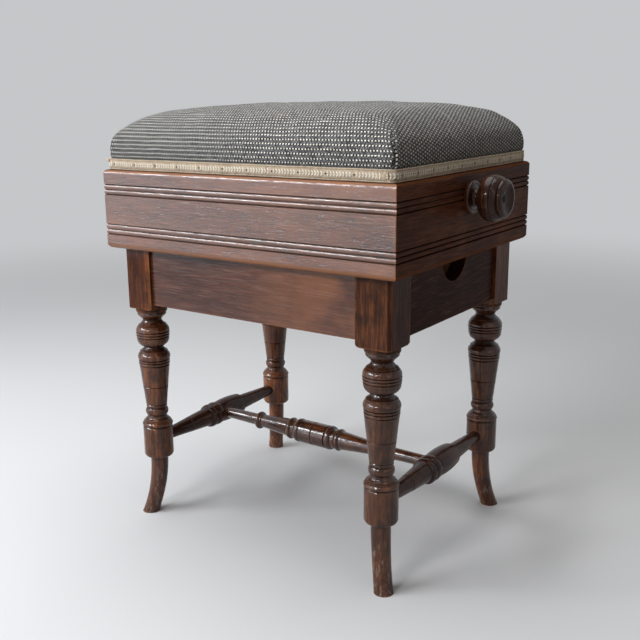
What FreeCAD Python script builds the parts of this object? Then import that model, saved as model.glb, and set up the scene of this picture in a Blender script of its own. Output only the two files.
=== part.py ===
"""Adjustable piano stool: a turned and joined lower frame, a reeded seat box that
slides up and down over its four posts, and a knob-driven screw under the seat
that lifts the box on crossed iron arms.

Millimetres, +Z up, origin on the floor under the middle of the seat. +X points to
the knob end that the picture shows, and -Y is the long front face.
"""
import FreeCAD, Part
import math
import os

os.makedirs("parts", exist_ok=True)

# Seat box
seat_length = 400.0
seat_depth = 318.0
box_height = 94.0
box_underside_height = 348.0
board_thickness = 13.0
box_top_edge_radius = 5.0
box_bottom_edge_radius = 7.0
box_corner_radius = 1.5
band_height = 16.7
quirk_width = 1.5
quirk_depth = 1.9
reed_width = 4.4
reed_side_sink = 0.9
reed_tip_sink = 0.2
reeds_in_group = 2

# Travel of the seat down from the height shown, and what is left over the posts then
seat_drop_travel = 50.0
post_head_gap = 6.0

# Lower frame
post_gap = 1.0
post_width = 41.0
post_drop = 75.0
post_chamfer = 3.4
post_shoulder_height = 3.5
post_shoulder_width = 4.5
rail_thickness = 18.0
rail_height = 90.0
rail_setback = 3.5
rail_lift = 7.0
tenon_thickness = 8.0
tenon_length = 16.0
tenon_shoulder = 10.0
notch_radius = 30.0
notch_floor = 41.0

# Legs
block_radius = 18.7
block_height = 34.5
block_underside_height = 82.0
ankle_drop = 9.0
ankle_radius = 11.1
foot_spread = 14.3

# Stretchers
barrel_radius = 15.2
middle_barrel_radius = 15.3
stretcher_socket_depth = 13.0
middle_socket_depth = 8.0

# Bearers and brackets of the lifting gear
bearer_width = 50.0
bearer_thickness = 16.0
bearer_lift = 4.0
bearer_housing = 8.0
pivot_offset = 70.0
pivot_lift = 16.0
bracket_plate_length = 46.0
bracket_plate_thickness = 4.0
bracket_plate_margin = 22.0
ear_width = 24.0
ear_thickness = 5.0
pivot_radius = 5.0
running_clearance = 0.05

# Lifting arms
arm_length = 200.0
arm_thickness = 6.0
arm_width = 18.0
arm_eye_radius = 11.0
arm_side_gap = 2.0
open_pivot_clearance = 2.3
washer_thickness = 1.5
washer_radius = 9.0
washer_gap = 0.3
pin_overrun = 3.0

# Screw, nuts, bearings and knobs
shaft_drop = 27.6
shaft_radius = 7.0
shaft_hole_clearance = 0.5
spigot_radius = 5.0
spigot_length = 20.0
nut_length = 28.0
nut_width = 36.0
nut_height = 28.0
bearing_plate_thickness = 3.0
bearing_plate_width = 44.0
bearing_plate_up = 13.0
bearing_plate_down = 26.0
hub_radius = 14.0
hub_length = 12.0
collar_radius = 13.0
collar_length = 9.0
collar_gap = 0.3
collar_screw_radius = 2.0
rosette_thickness = 4.8
rosette_radius = 17.8
knob_length = 41.5
knob_radius = 24.9
knob_gap = 0.4
button_radius = 4.6
button_length = 8.0
button_crown = 1.2

# Seat and its upholstery
seat_ledge = 4.6
seat_board_thickness = 13.0
seat_corner_radius = 5.0
gimp_thickness = 1.6
gimp_height = 12.4
gimp_lift = 0.3
gimp_seam_width = 0.4
gimp_seam_inset = 9.0
cloth_thickness = 1.0
cushion_height = 59.5
tack_spacing = 32.0
tack_end_margin = 12.0
tack_head_radius = 1.3
tack_head_thickness = 0.5
tack_shank_radius = 0.6
tack_shank_length = 9.0
tack_hole_clearance = 0.05
cleat_size = 14.0
cleat_post_gap = 4.0

# Wood screws
screw_shank_radius = 2.0
screw_head_radius = 3.8
screw_head_height = 2.2
screw_slot_width = 0.8
screw_slot_depth = 0.9
seat_screw_length = 22.0
plate_screw_length = 11.0
bracket_screw_length = 15.0
screw_inset = 7.0

# Turned outlines. Each move ends at (place share, radius share), and an arc also
# names the point that it passes through.

# Leg, from the top of its round block to the underside of its square post
leg_turning_shares = (
    ("line", 0.003, 0.985), ("line", 0.012, 0.925), ("line", 0.018, 1.005),
    ("arc", 0.026, 1.030, 0.035, 1.010), ("line", 0.045, 0.960), ("line", 0.048, 0.905),
    ("line", 0.056, 0.895), ("line", 0.059, 0.830), ("line", 0.067, 0.815),
    ("arc", 0.080, 0.695, 0.096, 0.650), ("line", 0.100, 0.635), ("line", 0.105, 0.690),
    ("arc", 0.133, 0.770, 0.160, 0.690), ("line", 0.165, 0.650), ("line", 0.169, 0.680),
    ("arc", 0.178, 0.705, 0.187, 0.685), ("line", 0.192, 0.655), ("line", 0.197, 0.715),
    ("line", 0.3406, 0.845), ("line", 0.3457, 0.812), ("line", 0.351, 0.852),
    ("line", 0.518, 1.005), ("line", 0.524, 0.955), ("line", 0.529, 1.010),
    ("arc", 0.538, 1.035, 0.545, 1.020), ("line", 0.550, 0.970), ("line", 0.555, 1.025),
    ("arc", 0.561, 1.045, 0.567, 1.035), ("line", 0.572, 0.985), ("line", 0.577, 1.055),
    ("arc", 0.596, 1.080, 0.624, 0.985), ("line", 0.634, 0.920), ("line", 0.638, 0.935),
    ("line", 0.644, 0.890), ("arc", 0.655, 0.750, 0.668, 0.660), ("line", 0.676, 0.625),
    ("line", 0.682, 0.660), ("arc", 0.703, 0.955, 0.727, 1.060), ("line", 0.751, 1.085),
    ("line", 0.757, 1.035), ("line", 0.763, 1.090), ("arc", 0.769, 1.110, 0.774, 1.100),
    ("line", 0.7795, 1.050), ("line", 0.785, 1.105), ("arc", 0.791, 1.120, 0.796, 1.110),
    ("line", 0.802, 1.055), ("line", 0.807, 1.110), ("arc", 0.827, 1.075, 0.847, 0.970),
    ("line", 0.852, 0.905), ("line", 0.857, 0.920), ("line", 0.862, 0.865),
    ("arc", 0.874, 0.735, 0.885, 0.665), ("line", 0.893, 0.625), ("line", 0.902, 0.655),
    ("arc", 0.915, 0.735, 0.929, 0.860), ("line", 0.933, 0.885), ("arc", 0.946, 0.955, 0.956, 0.940),
    ("line", 0.963, 0.925), ("line", 0.967, 1.025), ("line", 1.000, 1.045),
)
# Leg, from the ankle up to the underside of the round block
ankle_shares = (
    ("line", 0.200, 0.600), ("arc", 0.290, 0.725, 0.410, 0.800), ("line", 0.460, 0.800),
    ("line", 0.500, 0.905), ("arc", 0.720, 0.980, 1.000, 1.000),
)
# Foot sections from the ankle down: height share, radius share
foot_section_shares = ((1.0, 1.0), (0.8, 0.985), (0.6, 0.965), (0.4, 0.945), (0.2, 0.94), (0.0, 0.985))
# Side stretcher, from the front leg to the rear leg
side_stretcher_shares = (
    ("line", -0.850, 0.475), ("line", -0.558, 0.645), ("line", -0.551, 0.605), ("line", -0.544, 0.660),
    ("line", -0.262, 0.820), ("line", -0.255, 0.785), ("line", -0.249, 0.900),
    ("arc", -0.214, 1.025, -0.180, 0.935), ("line", -0.1755, 0.855), ("line", -0.171, 0.935),
    ("arc", -0.124, 1.035, -0.078, 0.950), ("line", -0.0735, 0.865), ("line", -0.069, 0.950),
    ("arc", 0.100, 1.030, 0.280, 0.925), ("line", 0.2855, 0.850), ("line", 0.291, 0.885), ("line", 0.303, 0.700),
    ("line", 0.850, 0.475),
)
stretcher_end_share = 0.475
# Middle stretcher, from its middle line out to one end
middle_stretcher_shares = (
    ("line", 0.0055, 0.980), ("line", 0.116, 0.975), ("line", 0.1195, 0.875), ("line", 0.123, 0.930),
    ("arc", 0.145, 1.010, 0.1655, 0.915), ("line", 0.170, 0.810), ("arc", 0.187, 0.775, 0.203, 0.820),
    ("line", 0.207, 0.775), ("line", 0.2115, 0.845), ("arc", 0.226, 0.920, 0.239, 0.845),
    ("line", 0.244, 0.745), ("line", 0.249, 0.775), ("line", 0.5075, 0.545), ("line", 0.512, 0.510),
    ("line", 0.5165, 0.600), ("line", 0.523, 0.600), ("line", 0.526, 0.650),
    ("arc", 0.544, 0.765, 0.562, 0.650), ("line", 0.565, 0.600), ("line", 0.5715, 0.600),
    ("line", 0.576, 0.500),
)
middle_line_share = 0.900
middle_end_share = 0.455
middle_shift_share = -0.036
# Knob, from its seat beside the rosette to its dished face
knob_shares = (
    ("arc", 0.229, 0.337, 0.325, 0.460), ("line", 0.342, 0.640), ("arc", 0.434, 0.908, 0.590, 1.000),
    ("arc", 0.650, 0.995, 0.700, 0.975), ("line", 0.712, 0.945), ("line", 0.724, 0.960),
    ("arc", 0.790, 0.920, 0.855, 0.840), ("line", 0.872, 0.800), ("line", 0.892, 0.820),
    ("arc", 0.954, 0.810, 0.995, 0.715), ("line", 1.000, 0.650), ("line", 0.978, 0.600),
    ("arc", 0.930, 0.400, 0.906, 0.220),
)
knob_neck_share = 0.420
# Rosette between the knob and the end board
rosette_shares = (
    ("line", 0.550, 1.000), ("arc", 0.880, 0.965, 0.960, 0.865), ("line", 0.850, 0.810),
    ("line", 1.000, 0.740),
)
# Cushion levels from its foot up: height share, inset share of the cushion's height
cushion_level_shares = (
    (0.13, -0.015), (0.27, 0.002), (0.43, 0.050), (0.57, 0.158), (0.70, 0.309), (0.81, 0.504),
    (0.89, 0.776), (0.94, 1.161), (0.975, 1.608), (0.995, 2.057), (1.00, 2.471),
)
cushion_corner_share = 0.6
cushion_corner_limit_share = 0.8
screws_along_cleat_shares = (-0.7, 0.7)

# Places worked out from the sizes above
half_length = seat_length / 2
half_depth = seat_depth / 2
box_top = box_underside_height + box_height
post_reach_x = half_length - board_thickness - post_gap
post_reach_y = half_depth - board_thickness - post_gap
leg_x = post_reach_x - post_width / 2
leg_y = post_reach_y - post_width / 2
post_underside_height = box_underside_height - post_drop
rail_underside = post_underside_height + rail_lift
block_top = block_underside_height + block_height
stretcher_height = block_underside_height + block_height / 2
ankle_height = block_underside_height - ankle_drop
post_top = box_top - seat_drop_travel - post_head_gap
bearer_top = rail_underside + bearer_lift + bearer_thickness
pivot_height = bearer_top + pivot_lift
shaft_height = box_top - shaft_drop
arm_rise = shaft_height - pivot_height
arm_angle = math.asin(arm_rise / arm_length)
nut_offset = arm_length * math.cos(arm_angle) - pivot_offset
near_arm_inner = nut_width / 2 + arm_side_gap
far_arm_inner = near_arm_inner + arm_thickness + arm_side_gap
seat_board_bottom = box_top
seat_board_top = seat_board_bottom + seat_board_thickness
gimp_outer_x = half_length - seat_ledge
gimp_outer_y = half_depth - seat_ledge
ends = (("left", -1), ("right", 1))
sides = (("front", -1), ("rear", 1))

axis_x = FreeCAD.Vector(1, 0, 0)
axis_y = FreeCAD.Vector(0, 1, 0)
axis_z = FreeCAD.Vector(0, 0, 1)
origin = FreeCAD.Vector(0, 0, 0)


def point(x, y, z):
    return FreeCAD.Vector(x, y, z)


def block(x0, x1, y0, y1, z0, z1):
    """Box between two opposite corners, given in any order."""
    low = point(min(x0, x1), min(y0, y1), min(z0, z1))
    return Part.makeBox(abs(x1 - x0), abs(y1 - y0), abs(z1 - z0), low)


def rod(radius, start, direction, length):
    return Part.makeCylinder(radius, length, start, direction)


def joined(solids):
    """One clean solid from pieces that touch or overlap."""
    whole = solids[0]
    for piece in solids[1:]:
        whole = whole.fuse(piece)
    return whole.removeSplitter()


def group(solids):
    return Part.makeCompound(solids)


def save(shape, name):
    shape.exportStep("parts/" + name + ".step")
    count = len(shape.Solids)
    print(name, count, "solid" if count == 1 else "solids", "valid" if shape.isValid() else "INVALID")


def outline_edges(start, moves, reach, radius):
    """Lines and arcs in the XZ plane: place along Z, radius along X."""
    edges = []
    here = start
    for move in moves:
        there = point(move[-1] * radius, 0, move[-2] * reach)
        if move[0] == "line":
            edges.append(Part.makeLine(here, there))
        else:
            through = point(move[2] * radius, 0, move[1] * reach)
            edges.append(Part.Arc(here, through, there).toShape())
        here = there
    return edges, here


def turned(first, moves, reach, radius):
    """Solid of revolution about Z. first is (place share, radius share)."""
    start = point(first[1] * radius, 0, first[0] * reach)
    edges, last = outline_edges(start, moves, reach, radius)
    foot = point(0, 0, start.z)
    head = point(0, 0, last.z)
    edges = [Part.makeLine(foot, start)] + edges + [Part.makeLine(last, head), Part.makeLine(head, foot)]
    face = Part.Face(Part.Wire(edges))
    return face.revolve(origin, axis_z, 360)


def mirrored_moves(first, moves):
    """The same moves walked backwards on the other side of zero."""
    stations = [first] + [(move[-2], move[-1]) for move in moves]
    result = []
    for index in range(len(moves) - 1, -1, -1):
        move = moves[index]
        place, size = stations[index]
        if move[0] == "line":
            result.append(("line", -place, size))
        else:
            result.append(("arc", -move[1], move[2], -place, size))
    return result


def shifted_moves(moves, shift):
    result = []
    for move in moves:
        if move[0] == "line":
            result.append(("line", move[1] + shift, move[2]))
        else:
            result.append(("arc", move[1] + shift, move[2], move[3] + shift, move[4]))
    return result


def laid_along(shape, direction):
    """Turns a shape made along Z so that it lies along X or Y."""
    laid = shape.copy()
    if direction == axis_x:
        laid.rotate(origin, axis_y, 90)
    else:
        laid.rotate(origin, axis_x, -90)
    return laid


def moved(shape, x, y, z):
    placed = shape.copy()
    placed.translate(point(x, y, z))
    return placed


def rounded_wire(half_x, half_y, radius, z):
    """Rounded rectangle of four lines and four quarter arcs."""
    edges = []
    turn = math.sqrt(0.5)
    corners = ((1, 1), (-1, 1), (-1, -1), (1, -1))
    for index, (sx, sy) in enumerate(corners):
        cx = sx * (half_x - radius)
        cy = sy * (half_y - radius)
        on_x = point(cx + sx * radius, cy, z)
        on_y = point(cx, cy + sy * radius, z)
        middle = point(cx + sx * radius * turn, cy + sy * radius * turn, z)
        first, last = (on_x, on_y) if index % 2 == 0 else (on_y, on_x)
        edges.append(Part.Arc(first, middle, last).toShape())
        nx, ny = corners[(index + 1) % 4]
        if index % 2 == 0:
            following = point(nx * (half_x - radius), ny * half_y, z)
        else:
            following = point(nx * half_x, ny * (half_y - radius), z)
        edges.append(Part.makeLine(last, following))
    return Part.Wire(edges)


def rounded_slab(half_x, half_y, radius, z0, z1):
    face = Part.Face(rounded_wire(half_x, half_y, radius, z0))
    return face.extrude(point(0, 0, z1 - z0))


def wood_screw(length, head, direction):
    """Slotted countersunk screw with its head's flat at the point head."""
    cone = Part.makeCone(screw_head_radius, screw_shank_radius, screw_head_height)
    shank = rod(screw_shank_radius, origin, axis_z, length)
    body = cone.fuse(shank).removeSplitter()
    body.Placement = FreeCAD.Placement(head, FreeCAD.Rotation(axis_z, direction))
    return body


def slotted(body, head, direction):
    """The screw with its slot, and the plain body is what its hole is cut with."""
    slot = block(-screw_head_radius, screw_head_radius, -screw_slot_width / 2, screw_slot_width / 2,
                 -screw_slot_depth, screw_slot_depth)
    slot.Placement = FreeCAD.Placement(head, FreeCAD.Rotation(axis_z, direction))
    return body.cut(slot)


# Screws: each entry is the plain body, its head's place and the way it points
def screw_row(length, heads, direction):
    return [(wood_screw(length, head, direction), head, direction) for head in heads]


def cut_screws(shape, screws):
    for body, _, _ in screws:
        shape = shape.cut(body)
    return shape


def screws_group(screws):
    return group([slotted(body, head, direction) for body, head, direction in screws])


def cleat_reach_x():
    return post_reach_x - post_width - cleat_post_gap


def cleat_reach_y():
    return post_reach_y - post_width - cleat_post_gap


def seat_screw_list():
    head_z = box_top - cleat_size
    heads = []
    for _, sy in sides:
        y = sy * (half_depth - board_thickness - cleat_size / 2)
        heads += [point(share * cleat_reach_x(), y, head_z) for share in screws_along_cleat_shares]
    for _, sx in ends:
        x = sx * (half_length - board_thickness - cleat_size / 2)
        heads += [point(x, share * cleat_reach_y(), head_z) for share in screws_along_cleat_shares]
    return screw_row(seat_screw_length, heads, axis_z)


def plate_screw_list(sx):
    x = sx * (half_length - board_thickness - bearing_plate_thickness)
    reach_y = bearing_plate_width / 2 - screw_inset
    heads = []
    for sy in (-1, 1):
        heads.append(point(x, sy * reach_y, shaft_height + bearing_plate_up - screw_inset))
        heads.append(point(x, sy * reach_y, shaft_height - bearing_plate_down + screw_inset))
    return screw_row(plate_screw_length, heads, point(sx, 0, 0))


def bracket_reach_y(outer_ear):
    return outer_ear + bracket_plate_margin


def ear_outer(sx):
    """Outer face of the bracket's ears: the left bracket carries the near arms."""
    inner = near_arm_inner if sx < 0 else far_arm_inner
    return inner - washer_gap


def bracket_screw_list(sx):
    reach_y = bracket_reach_y(ear_outer(sx)) - screw_inset
    reach_x = bracket_plate_length / 2 - screw_inset
    z = bearer_top + bracket_plate_thickness
    heads = [point(sx * pivot_offset + ux * reach_x, uy * reach_y, z) for ux in (-1, 1) for uy in (-1, 1)]
    return screw_row(bracket_screw_length, heads, point(0, 0, -1))


# Lower frame
def leg_foot():
    """Sabre foot: round sections that swing outward towards the floor."""
    wires = []
    turn = math.sqrt(0.5)
    for height_share, radius_share in foot_section_shares:
        swing = foot_spread * (1 - height_share) ** 2
        centre = point(swing * turn, swing * turn, ankle_height * height_share)
        circle = Part.makeCircle(ankle_radius * radius_share, centre, axis_z)
        wires.append(Part.Wire([circle]))
    return Part.makeLoft(wires[::-1], True, False)


def leg_turning():
    """Everything on the leg that the lathe made, from the ankle to the post."""
    ankle = turned((0, ankle_radius / block_radius), ankle_shares, ankle_drop, block_radius)
    ankle = moved(ankle, 0, 0, ankle_height)
    middle = moved(rod(block_radius, origin, axis_z, block_height), 0, 0, block_underside_height)
    reach = post_underside_height - block_top
    upper = moved(turned((0, 1), leg_turning_shares, reach, block_radius), 0, 0, block_top)
    return joined([ankle, middle, upper])


def leg_post():
    """Square post with a lathe-cut shoulder below and a chamfer on its outer corner."""
    half = post_width / 2
    square = block(-half, half, -half, half, post_underside_height, post_top)
    edges = []
    for edge in square.Edges:
        middle = edge.CenterOfMass
        if middle.x > half / 2 and middle.y > half / 2:
            edges.append(edge)
    square = square.makeChamfer(post_chamfer, edges)
    corner = post_width * math.sqrt(0.5)
    low = point(corner - post_shoulder_width, 0, post_underside_height)
    high = point(corner, 0, post_underside_height + post_shoulder_height)
    bow = post_shoulder_width * (1 - math.sqrt(0.5))
    through = point(corner - bow, 0, post_underside_height + post_shoulder_height * (1 - math.sqrt(0.5)))
    wire = Part.Wire([
        Part.makeLine(point(0, 0, post_underside_height), low),
        Part.Arc(low, through, high).toShape(),
        Part.makeLine(high, point(corner, 0, post_top)),
        Part.makeLine(point(corner, 0, post_top), point(0, 0, post_top)),
        Part.makeLine(point(0, 0, post_top), point(0, 0, post_underside_height)),
    ])
    return square.common(Part.Face(wire).revolve(origin, axis_z, 360))


def leg(sx, sy):
    blank = joined([leg_foot(), leg_turning(), leg_post()])
    turns = {(1, 1): 0, (-1, 1): 90, (-1, -1): 180, (1, -1): 270}
    blank.rotate(origin, axis_z, turns[(sx, sy)])
    blank = moved(blank, sx * leg_x, sy * leg_y, 0)
    for cutter in (rail_tenons("x", sy), rail_tenons("y", sx), side_stretcher(sx)):
        blank = blank.cut(cutter)
    return blank


def rail_centre(reach):
    return reach - rail_setback - rail_thickness / 2


def rail_tenons(along, side):
    """A rail's tongue, from one mortise floor to the other."""
    z0 = rail_underside + tenon_shoulder
    z1 = rail_underside + rail_height - tenon_shoulder
    if along == "x":
        reach = post_reach_x - post_width + tenon_length
        y = side * rail_centre(post_reach_y)
        return block(-reach, reach, y - tenon_thickness / 2, y + tenon_thickness / 2, z0, z1)
    reach = post_reach_y - post_width + tenon_length
    x = side * rail_centre(post_reach_x)
    return block(x - tenon_thickness / 2, x + tenon_thickness / 2, -reach, reach, z0, z1)


def long_rail(sy):
    """Front or rear rail, housed inside for the two bearers."""
    reach = post_reach_x - post_width
    y = sy * rail_centre(post_reach_y)
    body = block(-reach, reach, y - rail_thickness / 2, y + rail_thickness / 2,
                 rail_underside, rail_underside + rail_height)
    body = body.fuse(rail_tenons("x", sy)).removeSplitter()
    for _, sx in ends:
        body = body.cut(bearer(sx))
    return body


def short_rail(sx):
    """End rail, with the round-bottomed notch that the screw sinks into."""
    reach = post_reach_y - post_width
    x = sx * rail_centre(post_reach_x)
    x0 = x - rail_thickness / 2
    x1 = x + rail_thickness / 2
    top = rail_underside + rail_height
    body = block(x0, x1, -reach, reach, rail_underside, top)
    body = body.fuse(rail_tenons("y", sx)).removeSplitter()
    centre = rail_underside + notch_floor + notch_radius
    body = body.cut(rod(notch_radius, point(x0, 0, centre), axis_x, rail_thickness))
    if centre < top:
        body = body.cut(block(x0, x1, -notch_radius, notch_radius, centre, top))
    return body


def bearer(sx):
    reach = rail_centre(post_reach_y) - rail_thickness / 2 + bearer_housing
    x = sx * pivot_offset
    return block(x - bearer_width / 2, x + bearer_width / 2, -reach, reach,
                 bearer_top - bearer_thickness, bearer_top)


def side_stretcher(sx):
    end = (leg_y - block_radius + stretcher_socket_depth) / leg_y
    moves = list(side_stretcher_shares) + [("line", end, stretcher_end_share)]
    body = turned((-end, stretcher_end_share), moves, leg_y, barrel_radius)
    return moved(laid_along(body, axis_y), sx * leg_x, 0, stretcher_height)


def middle_stretcher():
    end = (leg_x - barrel_radius + middle_socket_depth) / leg_x
    first = (0, middle_line_share)
    right = shifted_moves(middle_stretcher_shares, middle_shift_share)
    left = shifted_moves(mirrored_moves(first, middle_stretcher_shares), middle_shift_share)
    start_place = -middle_stretcher_shares[-1][1] + middle_shift_share
    start = ("line", start_place, middle_stretcher_shares[-1][2])
    moves = [start] + left + right + [("line", end, middle_end_share)]
    body = turned((-end, middle_end_share), moves, leg_x, middle_barrel_radius)
    return moved(laid_along(body, axis_x), 0, 0, stretcher_height)


def bracket(sx):
    """Iron plate with two ears that hold a pivot rod."""
    x = sx * pivot_offset
    outer = ear_outer(sx)
    reach_y = bracket_reach_y(outer)
    top = bearer_top + bracket_plate_thickness
    half = bracket_plate_length / 2
    body = block(x - half, x + half, -reach_y, reach_y, bearer_top, top)
    for _, sy in sides:
        y0 = sy * outer
        y1 = sy * (outer - ear_thickness)
        cheek = block(x - ear_width / 2, x + ear_width / 2, y0, y1, top, pivot_height)
        crown = rod(ear_width / 2, point(x, min(y0, y1), pivot_height), axis_y, ear_thickness)
        body = joined([body, cheek, crown])
    body = body.cut(pivot_rod(sx))
    return cut_screws(body, bracket_screw_list(sx))


def pivot_rod_reach(sx):
    arm_inner = near_arm_inner if sx < 0 else far_arm_inner
    return arm_inner + arm_thickness + washer_gap + washer_thickness + pin_overrun


def pivot_rod(sx):
    reach = pivot_rod_reach(sx)
    return rod(pivot_radius, point(sx * pivot_offset, -reach, pivot_height), axis_y, 2 * reach)


def washers(x, z, arm_inner):
    """A washer on each end of a rod, outside the front and the rear arm."""
    rings = []
    for _, sy in sides:
        start = arm_inner + arm_thickness + washer_gap
        y = start if sy > 0 else -start - washer_thickness
        disc = rod(washer_radius, point(x, y, z), axis_y, washer_thickness)
        rings.append(disc.cut(rod(pivot_radius, point(x, y, z), axis_y, washer_thickness)))
    return rings


# Lifting gear
def arm(sx, sy):
    """Flat bar from the bracket on side sx up to the nut on the other side."""
    inner = near_arm_inner if sx < 0 else far_arm_inner
    y = sy * inner if sy > 0 else -inner - arm_thickness
    foot = rod(arm_eye_radius, point(0, y, 0), axis_y, arm_thickness)
    head = rod(arm_eye_radius, point(arm_length, y, 0), axis_y, arm_thickness)
    bar = block(0, arm_length, y, y + arm_thickness, -arm_width / 2, arm_width / 2)
    body = joined([foot, bar, head])
    body = body.cut(rod(pivot_radius + running_clearance, point(0, y, 0), axis_y, arm_thickness))
    body = body.cut(rod(pivot_radius + open_pivot_clearance, point(arm_length, y, 0), axis_y, arm_thickness))
    body.rotate(origin, axis_y, -math.degrees(arm_angle))
    if sx > 0:
        body.rotate(origin, axis_z, 180)
        body.translate(point(0, sy * (2 * inner + arm_thickness), 0))
    return moved(body, sx * pivot_offset, 0, pivot_height)


def nut(sx):
    """Nut with a trunnion on each side. The right nut carries the near arms."""
    x = sx * nut_offset
    inner = near_arm_inner if sx > 0 else far_arm_inner
    body = block(x - nut_length / 2, x + nut_length / 2, -nut_width / 2, nut_width / 2,
                 shaft_height - nut_height / 2, shaft_height + nut_height / 2)
    reach = inner + arm_thickness + washer_gap + washer_thickness + pin_overrun
    trunnion = rod(pivot_radius, point(x, -reach, shaft_height), axis_y, 2 * reach)
    body = joined([body, trunnion])
    bore = rod(shaft_radius + running_clearance, point(x - nut_length / 2, 0, shaft_height), axis_x, nut_length)
    return body.cut(bore)


def nut_washers(sx):
    inner = near_arm_inner if sx > 0 else far_arm_inner
    return group(washers(sx * nut_offset, shaft_height, inner))


def knob_start():
    """Distance from the end board's face to the knob's neck."""
    return rosette_thickness + knob_gap


def screw_shaft():
    reach = half_length + knob_start()
    body = rod(shaft_radius, point(-reach, 0, shaft_height), axis_x, 2 * reach)
    tip = reach + spigot_length
    body = body.fuse(rod(spigot_radius, point(-tip, 0, shaft_height), axis_x, 2 * tip)).removeSplitter()
    for _, sx in ends:
        body = body.cut(collar_screw(sx))
    return body


def collar_face():
    """Distance from the middle to the collar's outer face."""
    return half_length - board_thickness - bearing_plate_thickness - hub_length - collar_gap


def collar(sx):
    x0 = sx * collar_face()
    x1 = sx * (collar_face() - collar_length)
    ring = rod(collar_radius, point(min(x0, x1), 0, shaft_height), axis_x, collar_length)
    ring = ring.cut(rod(shaft_radius, point(min(x0, x1), 0, shaft_height), axis_x, collar_length))
    return ring.cut(collar_screw(sx))


def collar_screw(sx):
    x = sx * (collar_face() - collar_length / 2)
    start = shaft_height - collar_radius
    return rod(collar_screw_radius, point(x, 0, start), axis_z, collar_radius - shaft_radius / 2)


def rosette(sx):
    disc = turned((0, 1), rosette_shares, rosette_thickness, rosette_radius)
    disc = disc.cut(rod(shaft_radius + shaft_hole_clearance, origin, axis_z, rosette_thickness))
    return on_end(disc, sx)


def on_end(shape, sx):
    """Places a piece made along Z on an end board, with its Z pointing outward."""
    placed = shape.copy()
    placed.rotate(origin, axis_y, 90 * sx)
    return moved(placed, sx * half_length, 0, shaft_height)


def knob(sx):
    first = (knob_start() / knob_length, knob_neck_share)
    body = turned(first, knob_shares, knob_length, knob_radius)
    body = body.cut(rod(spigot_radius, origin, axis_z, knob_start() + spigot_length))
    return on_end(body, sx).cut(button(sx))


def button(sx):
    """Turned plug that covers the end of the screw in the knob's dished face."""
    face = knob_shares[-1][-2] * knob_length
    shank = rod(button_radius, point(0, 0, face - button_length), axis_z, button_length)
    cap_radius = (button_radius ** 2 + button_crown ** 2) / (2 * button_crown)
    ball = Part.makeSphere(cap_radius, point(0, 0, face + button_crown - cap_radius))
    cap = ball.common(rod(button_radius, point(0, 0, face), axis_z, button_crown))
    return on_end(joined([shank, cap]), sx)


def bearing_plate(sx):
    """Iron plate and hub that carry the screw inside the end board."""
    face = half_length - board_thickness
    x0 = sx * face
    x1 = sx * (face - bearing_plate_thickness)
    body = block(x0, x1, -bearing_plate_width / 2, bearing_plate_width / 2,
                 shaft_height - bearing_plate_down, shaft_height + bearing_plate_up)
    length = bearing_plate_thickness + hub_length
    hub = rod(hub_radius, point(x0, 0, shaft_height), point(-sx, 0, 0), length)
    body = joined([body, hub.common(block(x0, x0 - sx * length, -hub_radius, hub_radius,
                                          shaft_height - hub_radius, shaft_height + bearing_plate_up))])
    body = body.cut(rod(shaft_radius + running_clearance, point(x0, 0, shaft_height), point(-sx, 0, 0), length))
    return cut_screws(body, plate_screw_list(sx))


# Seat box
def reed_group(top):
    """Outline downward through one group of reeds: points and arcs on the outer face."""
    moves = []
    z = top
    for _ in range(reeds_in_group):
        moves.append(("line", board_thickness - quirk_depth, z - quirk_width / 2))
        z -= quirk_width
        moves.append(("line", board_thickness - reed_side_sink, z))
        moves.append(("arc", board_thickness - reed_tip_sink, z - reed_width / 2,
                      board_thickness - reed_side_sink, z - reed_width))
        z -= reed_width
    moves.append(("line", board_thickness - quirk_depth, z - quirk_width / 2))
    z -= quirk_width
    moves.append(("line", board_thickness, z))
    return moves, z


def board_moves():
    """Outline of a box board's outer face, from its top edge down."""
    group_height = reeds_in_group * reed_width + (reeds_in_group + 1) * quirk_width
    turn = 1 - math.sqrt(0.5)
    moves = [("line", board_thickness - box_top_edge_radius, box_height),
             ("arc", board_thickness - box_top_edge_radius * turn, box_height - box_top_edge_radius * turn,
              board_thickness, box_height - box_top_edge_radius),
             ("line", board_thickness, box_height - band_height)]
    moves += reed_group(box_height - band_height)[0]
    moves.append(("line", board_thickness, band_height + group_height))
    moves += reed_group(band_height + group_height)[0]
    moves += [("line", board_thickness, box_bottom_edge_radius),
              ("arc", board_thickness - box_bottom_edge_radius * turn, box_bottom_edge_radius * turn,
               board_thickness - box_bottom_edge_radius, 0),
              ("line", 0, 0)]
    return moves


def board_blank(length):
    """Reeded board along X with its inner face on the XZ plane and its face towards -Y."""
    here = point(0, 0, box_height)
    start = here
    edges = []
    for move in board_moves():
        there = point(0, -move[-2], move[-1])
        if move[0] == "line":
            edges.append(Part.makeLine(here, there))
        else:
            edges.append(Part.Arc(here, point(0, -move[1], move[2]), there).toShape())
        here = there
    edges.append(Part.makeLine(here, start))
    face = Part.Face(Part.Wire(edges))
    return moved(face.extrude(point(length, 0, 0)), -length / 2, 0, 0)


def box_board(reach_along, reach_out, turn):
    """One mitred side of the seat box. reach_out is from the middle to its face."""
    inner = reach_along - board_thickness
    blank = moved(board_blank(2 * reach_along), 0, -(reach_out - board_thickness), box_underside_height)
    corners = [point(-reach_along, -reach_out, box_underside_height),
               point(reach_along, -reach_out, box_underside_height),
               point(inner, -(reach_out - board_thickness), box_underside_height),
               point(-inner, -(reach_out - board_thickness), box_underside_height)]
    plan = Part.Face(Part.makePolygon(corners + corners[:1])).extrude(point(0, 0, box_height))
    body = blank.common(plan)
    body.rotate(origin, axis_z, turn)
    return body.common(rounded_slab(half_length, half_depth, box_corner_radius, box_underside_height, box_top))


def long_board(sy):
    return box_board(half_length, half_depth, 0 if sy < 0 else 180)


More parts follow.
